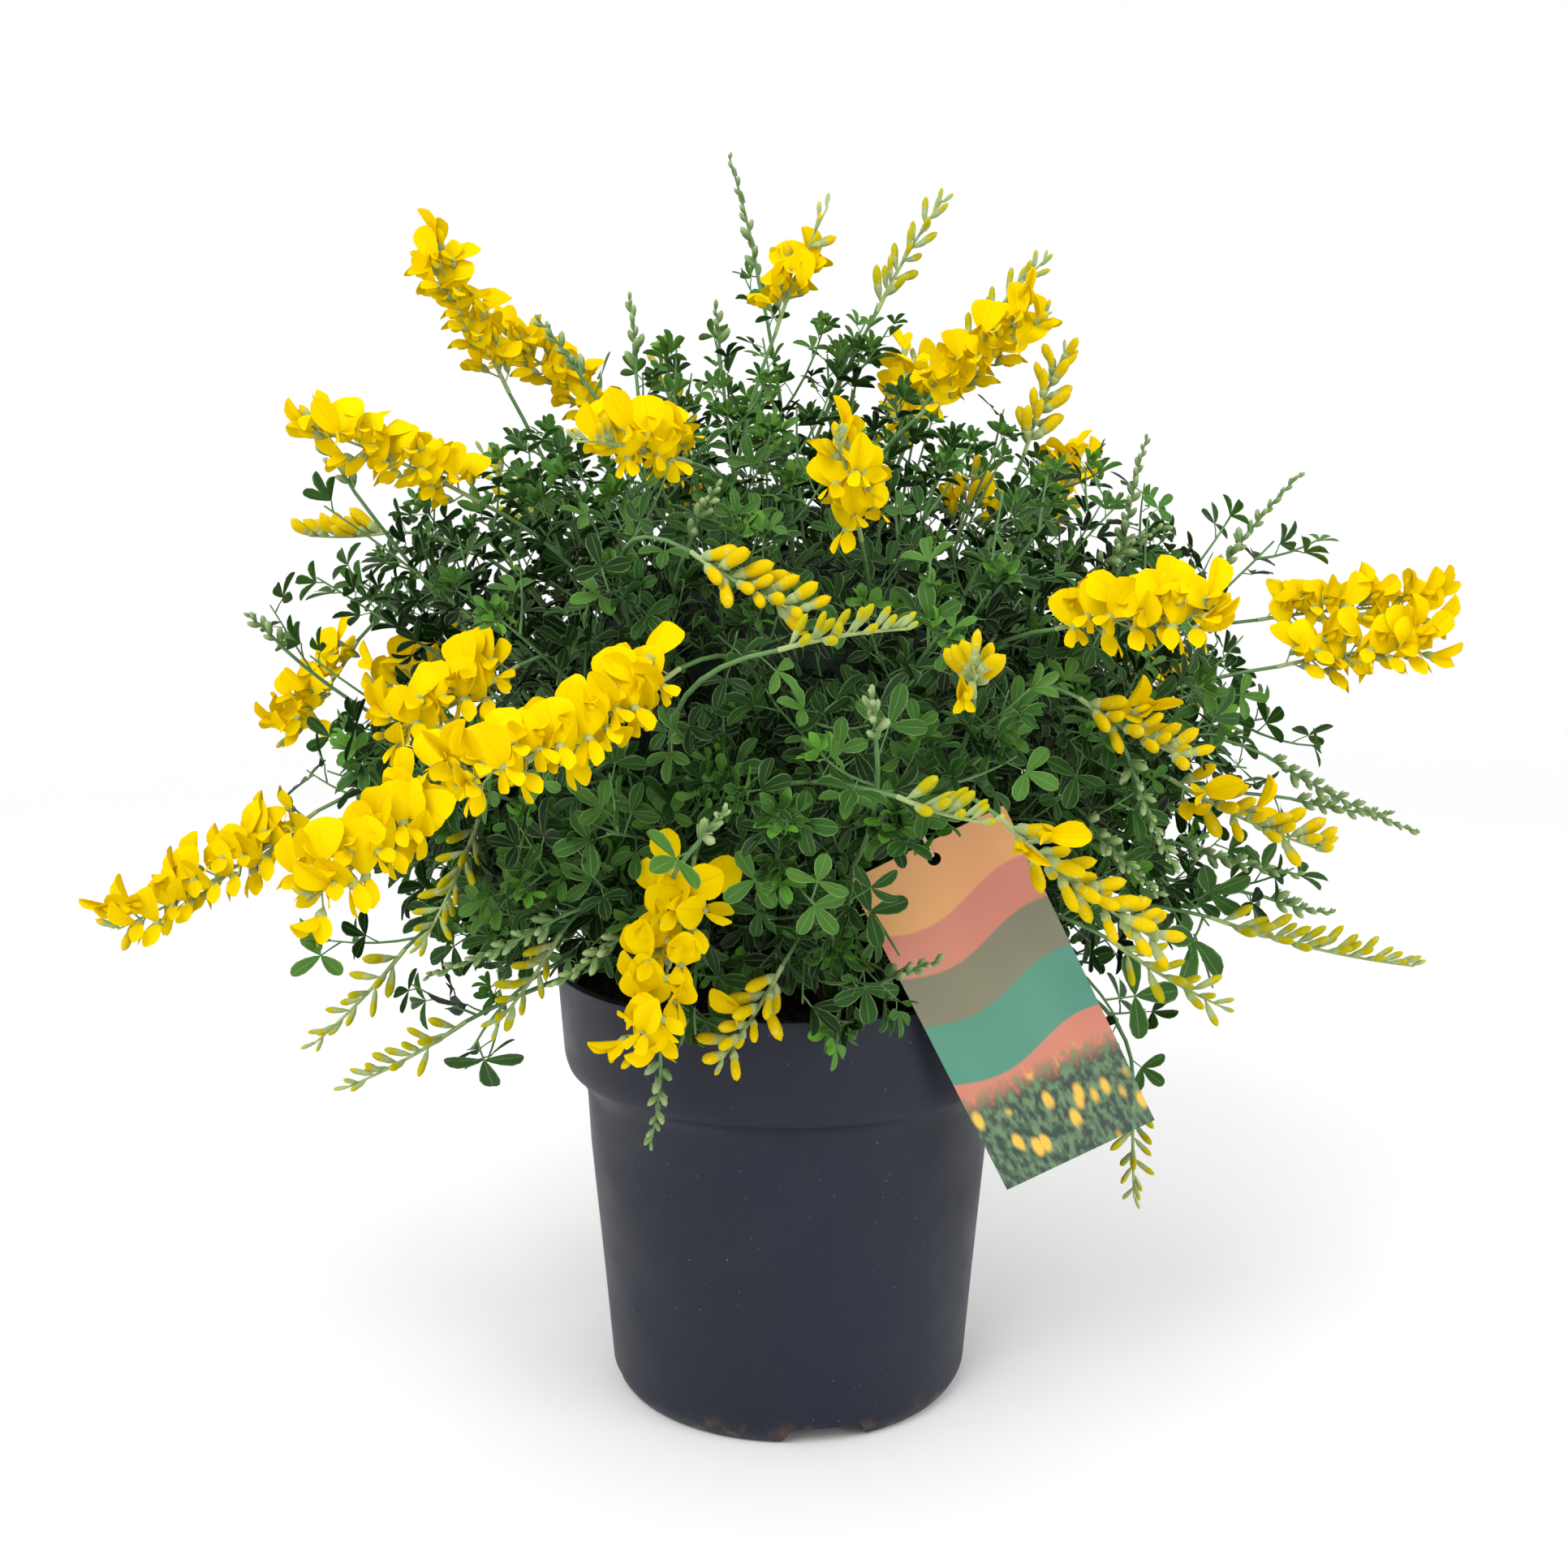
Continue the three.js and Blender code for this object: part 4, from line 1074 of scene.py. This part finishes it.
def leafy_line(line, start, spacing, scale=1.0, towards=0.0 * UP):
    """Leaves spiral up a stem from the fraction start to its tip."""
    total = np.linalg.norm(np.diff(line, axis=0), axis=1).sum()
    count = max(2, int(total * (1 - start) / spacing))
    phase = random.uniform(0, 2 * math.pi)
    for k in range(count):
        root, ahead = along_line(line, start + (1 - start) * (k + 0.5) / count)
        direction = spiral(ahead, k, phase, 45, 75)
        # painted shade and light from the leaf's place in the crown, plus tone that differs at random
        tone = np.clip(painted_shade_tone(root) + random.normal(0, 0.25), 0, 1)
        size = scale * leaf_size(root) * random.uniform(0.75, 1.15)
        add_leaf(root, direction, size, tone, towards=towards)


def young_whorl(line, count=4):
    """A rosette of bright young leaves at a shoot's tip."""
    place, ahead = along_line(line, 1.0)
    for k in range(count):
        direction = spiral(ahead, k, random.uniform(0, 0.6), 18, 58)
        size = leaf_size(place) * random.uniform(0.50, 0.78)
        add_leaf(place, direction, size, random.uniform(0.1, 1.0), young=True)


def grow_sprig(start, direction, length, young):
    """A side shoot that bends up towards the light, with leaves and sometimes a bright tip."""
    lift = 0.25 * UP + 0.15 * outward_from_crown(start)
    end = start + length * unit(direction + lift)
    line = bent_line(start, start + 0.5 * length * direction, end, 5)
    if not clear_for_leaf(line[2], 0.003) or not clear_for_leaf(end, 0.003):
        return
    sector(start).add(tube(line, np.linspace(*SPRIG_RADII, 5), 4, 1))
    leafy_line(line, 0.12, 0.0078)
    if young:
        young_whorl(line)


def woody_line(number):
    """The line of one woody stem, from the compost into the crown."""
    outward = crown_direction(2 * math.pi * number / WOODY_STEMS + WOODY_TURN, 0.0)
    foot = outward * WOODY_FOOT + (0, 0, SOIL_TOP - 0.034)
    middle = outward * WOODY_FOOT + (0, 0, 0.225)
    head = outward * WOODY_HEAD[0] + (0, 0, WOODY_HEAD[1])
    line = bent_line(foot, middle, head, 12)
    wobble = 0.0006 * np.sin(np.arange(12) * 1.7 + number)
    return line + wobble[:, None] * np.array([1.0, 0.6, 0.0])


WOODY_LINES = [woody_line(number) for number in range(WOODY_STEMS)]


def shoot_start(end):
    """A place on the woody stem that stands nearest to a shoot's end."""
    line = min(WOODY_LINES, key=lambda stem: np.linalg.norm(stem[-1] - end) + random.uniform(0, 0.05))
    highest = 0.98 if end[2] > 0.26 else 0.75
    return along_line(line, random.uniform(0.55, highest))[0]


def grow_shoot(end, heading, reach, sprigs, tip_radius=SHOOT_TIP):
    """A main shoot from the woody base to end, arriving along heading."""
    start = shoot_start(end)
    middle = end - heading * reach * np.linalg.norm(end - start)
    line = bent_line(start, middle, end, 14)
    sector(end).add(tube(line, np.linspace(SHOOT_RADIUS, tip_radius, 14), 6, 1))
    for k in range(sprigs):
        share = 0.36 + 0.62 * (k + random.uniform(0.1, 0.9)) / sprigs
        root, ahead = along_line(line, share)
        direction = spiral(ahead, k, random.uniform(0, 0.8), 38, 66)
        length = random.uniform(*SPRIG_LENGTHS) * (1.15 - 0.50 * share)
        young = random.random() < np.interp(root[2], (0.40, 0.48), (0.24, 0.50))
        grow_sprig(root, direction, length, young)
    return line


def green_spike(base, tip):
    """A spike of small silky buds that lie closer to the stalk towards its tip."""
    stock = sector(base)
    line = raceme_line(base, tip, 10)
    stock.add(tube(line, np.linspace(*SPIKE_RADII, len(line)), 5, 1))
    spacing = LOOSE_SPACING if tip[2] > LOOSE_ABOVE else SPIKE_SPACING
    count = int(np.linalg.norm(tip - base) / spacing)
    for k in range(count):
        along = 0.03 + 0.97 * (k + 0.5) / count
        place, ahead = along_line(line, along)
        lean = math.radians(random.uniform(34, 52) - 22 * along)
        heading = around(ahead, k * GOLDEN_ANGLE + random.normal(0, 0.4), lean)
        size = (1.55 - 0.75 * along) * random.uniform(0.75, 1.20)
        stock.add(GREEN_BUD, place, basis(heading, UP), size, random.uniform(0, 1))


def grow_crown():
    """Leafy shoots spread evenly over the crown's surface."""
    for k in range(CROWN_SHOOTS):
        height = 0.985 - 1.62 * (k + 0.5) / CROWN_SHOOTS
        outward = crown_direction(k * GOLDEN_ANGLE, math.asin(height))
        end = CROWN + outward * crown_reach(outward) * random.uniform(0.80, 0.97)
        if inside_pot(end, 0.010) or not clear_for_leaf(end, 0.006):
            continue
        rise = 0.35 if height > -0.2 else -0.15
        sprigs, spacing = (3, 0.015) if height > 0.62 else (6, 0.011)
        line = grow_shoot(end, unit(outward + (0, 0, rise)), 0.30, sprigs, TWIG_TIP)
        leafy_line(line[7:], 0.1, spacing)
        if random.random() < (0.9 if height > 0.5 else 0.6):
            young_whorl(line, 5)


def grow_skirt():
    """Short shoots that close the crown over the compost and spill to the rim."""
    for k in range(SKIRT_SHOOTS):
        outward = crown_direction(k * GOLDEN_ANGLE, 0.0)
        radius = random.uniform(*SKIRT_RADII)
        height = np.interp(radius, (0.06, 0.12), (0.252, 0.236)) + random.uniform(-0.004, 0.012)
        end = radius * outward + (0, 0, height)
        if not clear_for_leaf(end, 0.003):
            continue
        line = grow_shoot(end, unit(outward + (0, 0, -0.1)), 0.35, 3, TWIG_TIP)
        leafy_line(line[6:], 0.1, 0.010, 0.95)


def build_foliage():
    for base, tip, _, _ in RACEMES:
        line = grow_shoot(base, unit(tip - base), 0.40, 4)
        leafy_line(line[8:], 0.2, RACEME_LEAVES)
    for base, tip in SPIKES:
        line = grow_shoot(base, unit(tip - base), 0.40, 4)
        leafy_line(line[8:], 0.2, SPIKE_LEAVES)
        green_spike(base, tip)
    for root, tip in STRAYS:
        end = tip - 0.008 * unit(tip - root)
        line = grow_shoot(end, unit(end - root), 0.40, 2, TWIG_TIP)
        is_low = end[2] < 0.26 and abs(end[0]) > 0.1
        scale, towards = (1.4, FRONT_LEAN) if is_low else (1.1, 0.0 * UP)
        leafy_line(line[8:], 0.1, STRAY_LEAVES, scale, towards)
    grow_crown()
    grow_skirt()
    for name, stock in FOLIAGE.items():
        stock.piece("foliage_" + name, [LEAF, STEM, YOUNG, SPIKE], "foliage", "foliage")


def build_shade_core():
    """A dark shell of painted shade that stands for the shaded middle of the crown, well behind the
    leaves.
    """
    bpy.ops.mesh.primitive_ico_sphere_add(subdivisions=5, radius=1.0)
    core = bpy.context.object
    core.name = "crown_shade_core"
    points = points_of(core)
    rough = 1 + 0.10 * np.sin(9 * points[:, 0] + 3 * points[:, 1]) * np.sin(8 * points[:, 2] + 1)
    rough += 0.05 * np.sin(31 * points[:, 0]) * np.sin(29 * points[:, 1]) * np.sin(27 * points[:, 2])
    move_points(core, points * rough[:, None] * CORE_RADII + CORE_CENTRE)
    smooth_faces(core.data)
    core.data.materials.append(
        mottled_material("inner_shade", (0.006, 0.016, 0.006), INNER_SHADE, 0.9, (120.0, 0.4, 0.62)))
    dress(core, "foliage")


def build_woody_stems():
    stock = Stock()
    for line in WOODY_LINES:
        stock.add(tube(line, np.linspace(*WOODY_RADII, len(line)), 10, 0))
    relief = (300.0, 5.0, 0.6, 0.001)
    bark = mottled_material("bark", (0.10, 0.07, 0.04), BARK, 0.85, (150.0, 0.35, 0.65), relief)
    stock.piece("woody_stems", [bark], "foliage", "foliage")


# Pot and soil

def lathe(name, profile, segments):
    """A profile of radii and heights, turned about the upright axis."""
    profile = np.array(profile)
    angles = np.arange(segments) * 2 * math.pi / segments
    radius, height = profile[:, 0][:, None], profile[:, 1][:, None]
    points = np.stack([radius * np.cos(angles), radius * np.sin(angles), height + 0 * angles], axis=2)
    quads = []
    for r in range(len(profile) - 1):
        for i in range(segments):
            a, b = r * segments + i, r * segments + (i + 1) % segments
            quads.append((a, b, b + segments, a + segments))
    mesh = bpy.data.meshes.new(name)
    mesh.from_pydata(points.reshape(-1, 3).tolist(), [], quads)
    bm = bmesh.new()
    bm.from_mesh(mesh)
    bmesh.ops.remove_doubles(bm, verts=bm.verts, dist=1e-6)
    bm.to_mesh(mesh)
    bm.free()
    smooth_faces(mesh)
    return new_object(name, mesh)


def rounded(corner_from, corner, corner_to, radius, count=4):
    """Points of an arc-like curve that rounds a corner of a profile."""
    corner = np.array(corner, float)
    first = corner + unit(np.array(corner_from) - corner) * radius
    last = corner + unit(np.array(corner_to) - corner) * radius
    return [tuple(p) for p in bent_line(first, corner, last, count + 1)]


def pot_profile():
    outline = [
        (0.0, 0.0), (BASE_RADIUS, 0.0), (FOOT_RADIUS, 0.007), (FOOT_RADIUS + 0.004, 0.055),
        (BODY_TOP_RADIUS - 0.0014, 0.123), (BODY_TOP_RADIUS, BODY_TOP),
        (BODY_TOP_RADIUS + 0.003, BAND_FOOT - 0.008), (BAND_RADIUS - 0.002, BAND_FOOT - 0.003),
        (BAND_RADIUS, BAND_FOOT + 0.003), (RIM_RADIUS, POT_HEIGHT),
        (RIM_RADIUS - LIP, POT_HEIGHT), (RIM_RADIUS - LIP - 0.0006, POT_HEIGHT - 0.004),
        (RIM_RADIUS - LIP + 0.0012, POT_HEIGHT - 0.0055), (BAND_RADIUS - WALL, BAND_FOOT + 0.004),
        (BODY_TOP_RADIUS - WALL, BODY_TOP), (FOOT_RADIUS - WALL, 0.006), (0.0, WALL + 0.001),
    ]
    rounding = {1: 0.003, 2: 0.003, 6: 0.004, 7: 0.002, 8: 0.003, 9: 0.0009, 10: 0.0008}
    profile = []
    for k, point in enumerate(outline):
        if k in rounding:
            profile += rounded(outline[k - 1], point, outline[k + 1], rounding[k])
        else:
            profile.append(point)
    return profile


def notch_block(angle):
    """The wedge that a drain notch takes out of the foot."""
    half, top, inner = NOTCH_WIDTH / 2, NOTCH_HEIGHT, FOOT_RADIUS + 0.004 - NOTCH_DEPTH
    outline = [(-half, -0.005), (half, -0.005), (half * 0.72, top), (-half * 0.72, top)]
    points = [(x, y, z) for y in (-inner, -inner - NOTCH_DEPTH) for x, z in outline]
    faces = [(3, 2, 1, 0), (4, 5, 6, 7), (0, 1, 5, 4), (1, 2, 6, 5), (2, 3, 7, 6), (3, 0, 4, 7)]
    mesh = bpy.data.meshes.new("notch_block")
    mesh.from_pydata(points, [], faces)
    block = new_object("notch_block", mesh)
    block.rotation_euler = (0, 0, angle)
    return block


def build_pot():
    pot = lathe("nursery_pot", pot_profile(), POT_SEGMENTS)
    for k in range(NOTCH_COUNT):
        carve(pot, notch_block(NOTCH_TURN + 2 * math.pi * k / NOTCH_COUNT))
    pot.data.materials.clear()
    pot.data.materials.append(pot_material())
    smooth_faces(pot.data)
    pot.data.set_sharp_from_angle(angle=math.radians(32))
    dress(pot, "pot")


def build_soil():
    """A plug of compost with a crumbly top."""
    profile = [
        (0.0, SOIL_FOOT), (FOOT_RADIUS - WALL - 0.001, SOIL_FOOT),
        (BODY_TOP_RADIUS - WALL - 0.0008, BODY_TOP), (BAND_RADIUS - WALL - 0.0012, SOIL_TOP - 0.003),
    ]
    profile += [(radius, SOIL_TOP) for radius in np.linspace(0.106, 0.002, 46)] + [(0.0, SOIL_TOP)]
    soil = lathe("compost", profile, 150)
    points = points_of(soil)
    x, y = points[:, 0], points[:, 1]
    crumbs = 0.0018 * np.sin(700 * x + 2 * np.sin(430 * y)) * np.sin(640 * y)
    crumbs += random.normal(0, 0.0007, len(points))
    is_top = points[:, 2] > SOIL_TOP - 0.001
    points[:, 2] += np.where(is_top, crumbs - 0.001, 0.0)
    move_points(soil, points)
    relief = (260.0, 6.0, 0.9, 0.002)
    soil.data.materials.append(
        mottled_material("compost", (0.03, 0.02, 0.012), COMPOST, 0.95, (180.0, 0.35, 0.7), relief))
    dress(soil, "soil")


# Hang card and its loop

def card_sheet():
    """The card's flat sheet in its own plane, its origin at the hole."""
    columns, rows = 24, 48
    across = np.linspace(-CARD_WIDTH / 2, CARD_WIDTH / 2, columns + 1)
    up = np.linspace(CARD_LOW, CARD_HOLE_INSET, rows + 1)
    mesh = bpy.data.meshes.new("hang_card")
    bm = bmesh.new()
    grid = [[bm.verts.new((x, y, 0)) for x in across] for y in up]
    layer = bm.loops.layers.uv.new("UVMap")
    for r in range(rows):
        for c in range(columns):
            face = bm.faces.new((grid[r][c], grid[r][c + 1], grid[r + 1][c + 1], grid[r + 1][c]))
            for loop in face.loops:
                x, y, _ = loop.vert.co
                loop[layer].uv = (x / CARD_WIDTH + 0.5, (y - CARD_LOW) / CARD_LENGTH)
    bm.to_mesh(mesh)
    bm.free()
    return new_object("hang_card", mesh)


def build_card():
    """A thin card with a punched hole, curled a little across its width."""
    card = card_sheet()
    card.data.materials.append(card_material())
    card.data.materials.append(paper_material("card_edge", CARD_EDGE))
    bpy.context.view_layer.objects.active = card
    solid = card.modifiers.new("thickness", "SOLIDIFY")
    solid.thickness = CARD_THICKNESS
    solid.offset = 0
    solid.material_offset = 1
    solid.material_offset_rim = 1
    bpy.ops.object.modifier_apply(modifier=solid.name)
    bpy.ops.mesh.primitive_cylinder_add(vertices=32, radius=CARD_HOLE_RADIUS, depth=0.01)
    carve(card, bpy.context.object)
    hang_card(card)
    dress(card, "label")


def hang_card(card):
    """Curls the card and moves it from its own plane to where it hangs."""
    points = points_of(card)
    along = (CARD_HOLE_INSET - points[:, 1:2]) / CARD_LENGTH
    curl = CARD_CURL * np.sin(math.pi * along) * (points[:, 0:1] / (CARD_WIDTH / 2)) ** 2
    out = (points[:, 2:3] + curl) * CARD_FACE
    move_points(card, CARD_HOLE + points[:, 0:1] * CARD_ACROSS + points[:, 1:2] * CARD_UP + out)


def loop_path():
    """The loop's centre line: a half turn in the card's hole and one over the twig."""
    path = []
    for hand, level in ((1, 0.0), (-1, LOOP_LENGTH)):
        for angle in np.linspace(0, math.pi, 9):
            out = hand * LOOP_RADIUS * math.cos(angle)
            up = level + hand * LOOP_RADIUS * (1 - math.sin(angle))
            path.append(LOOP_FOOT + CARD_FACE * out + CARD_UP * up)
    return np.array(path)


def build_loop():
    path = loop_path()
    sides, count = 8, len(path)
    points, faces = [], []
    for k in range(count):
        over = np.cross(unit(path[(k + 1) % count] - path[k - 1]), CARD_ACROSS)
        for i in range(sides):
            angle = 2 * math.pi * i / sides
            offset = math.cos(angle) * CARD_ACROSS + 0.75 * math.sin(angle) * over
            points.append(path[k] + LOOP_WIRE * offset)
            row, next_row = k * sides, (k + 1) % count * sides
            a, b, c, d = row + i, row + (i + 1) % sides, next_row + (i + 1) % sides, next_row + i
            faces += [(a, b, c), (a, c, d)]
    stock = Stock()
    stock.add(Shape(points, faces))
    stock.piece("card_loop", [paper_material("loop_paper", LOOP_PAPER)], "label_tie", "label_tie")


def build_card_twig():
    """The twig that the loop hangs from, square to the loop."""
    centre = LOOP_FOOT + CARD_UP * (LOOP_LENGTH - LOOP_WIRE - LOOP_PLAY - TWIG_RADIUS)
    left = centre - CARD_ACROSS * 0.014
    right = centre + CARD_ACROSS * 0.022
    root = np.array([0.03, -0.05, 0.27])
    rising = bent_line(root, left - CARD_ACROSS * 0.02, left, 6)
    line = np.concatenate([rising[:-1], bent_line(left, centre, right, 5)])
    sector(centre).add(tube(line, np.linspace(TWIG_RADIUS, 0.0013, len(line)), 6, 1))


# Stage

def build_stage():
    """A pale floor that curves up into a pale backdrop all round."""
    bend_radius, floor_reach, wall_top = 1.2, 2.2, 4.0
    profile = [(0.0, 0.0)]
    for angle in np.linspace(0, math.pi / 2, 10):
        profile.append((floor_reach + bend_radius * math.sin(angle), bend_radius * (1 - math.cos(angle))))
    profile.append((floor_reach + bend_radius, wall_top))
    floor = lathe("floor", profile, 96)
    floor.data.materials.append(paper_material("floor_paper", FLOOR_PAPER, 0.9, 3.0))
    world = bpy.data.worlds.new("studio")
    world.use_nodes = True
    background = world.node_tree.nodes["Background"]
    background.inputs[0].default_value = (1.0, 1.0, 1.0, 1.0)
    background.inputs[1].default_value = 1.0
    bpy.context.scene.world = world


def area_light(name, place, aim, size, power):
    light = bpy.data.lights.new(name, "AREA")
    light.shape = "DISK"
    light.size = size
    light.energy = power
    holder = new_object(name, light)
    holder.location = place
    away = unit(np.array(place) - np.array(aim))
    holder.rotation_euler = (math.acos(away[2]), 0, math.atan2(away[1], away[0]) + math.pi / 2)


def build_camera():
    camera = bpy.data.cameras.new("camera")
    camera.lens = CAMERA_LENS
    camera.sensor_width = SENSOR
    camera.clip_start = 0.01
    holder = new_object("camera", camera)
    holder.location = CAMERA_PLACE
    holder.rotation_euler = (math.pi / 2 - CAMERA_PITCH, 0, 0)
    bpy.context.scene.camera = holder


build_camera()
build_stage()
area_light("key", (-0.9, -1.6, 2.0), (0, 0, 0.3), 1.4, 34)
area_light("fill", (1.6, -1.1, 1.0), (0, 0, 0.3), 1.4, 12)
build_pot()
build_soil()
build_woody_stems()
build_shade_core()
build_card_twig()
build_foliage()
build_racemes()
build_card()
build_loop()

bpy.context.scene.view_settings.view_transform = "Standard"
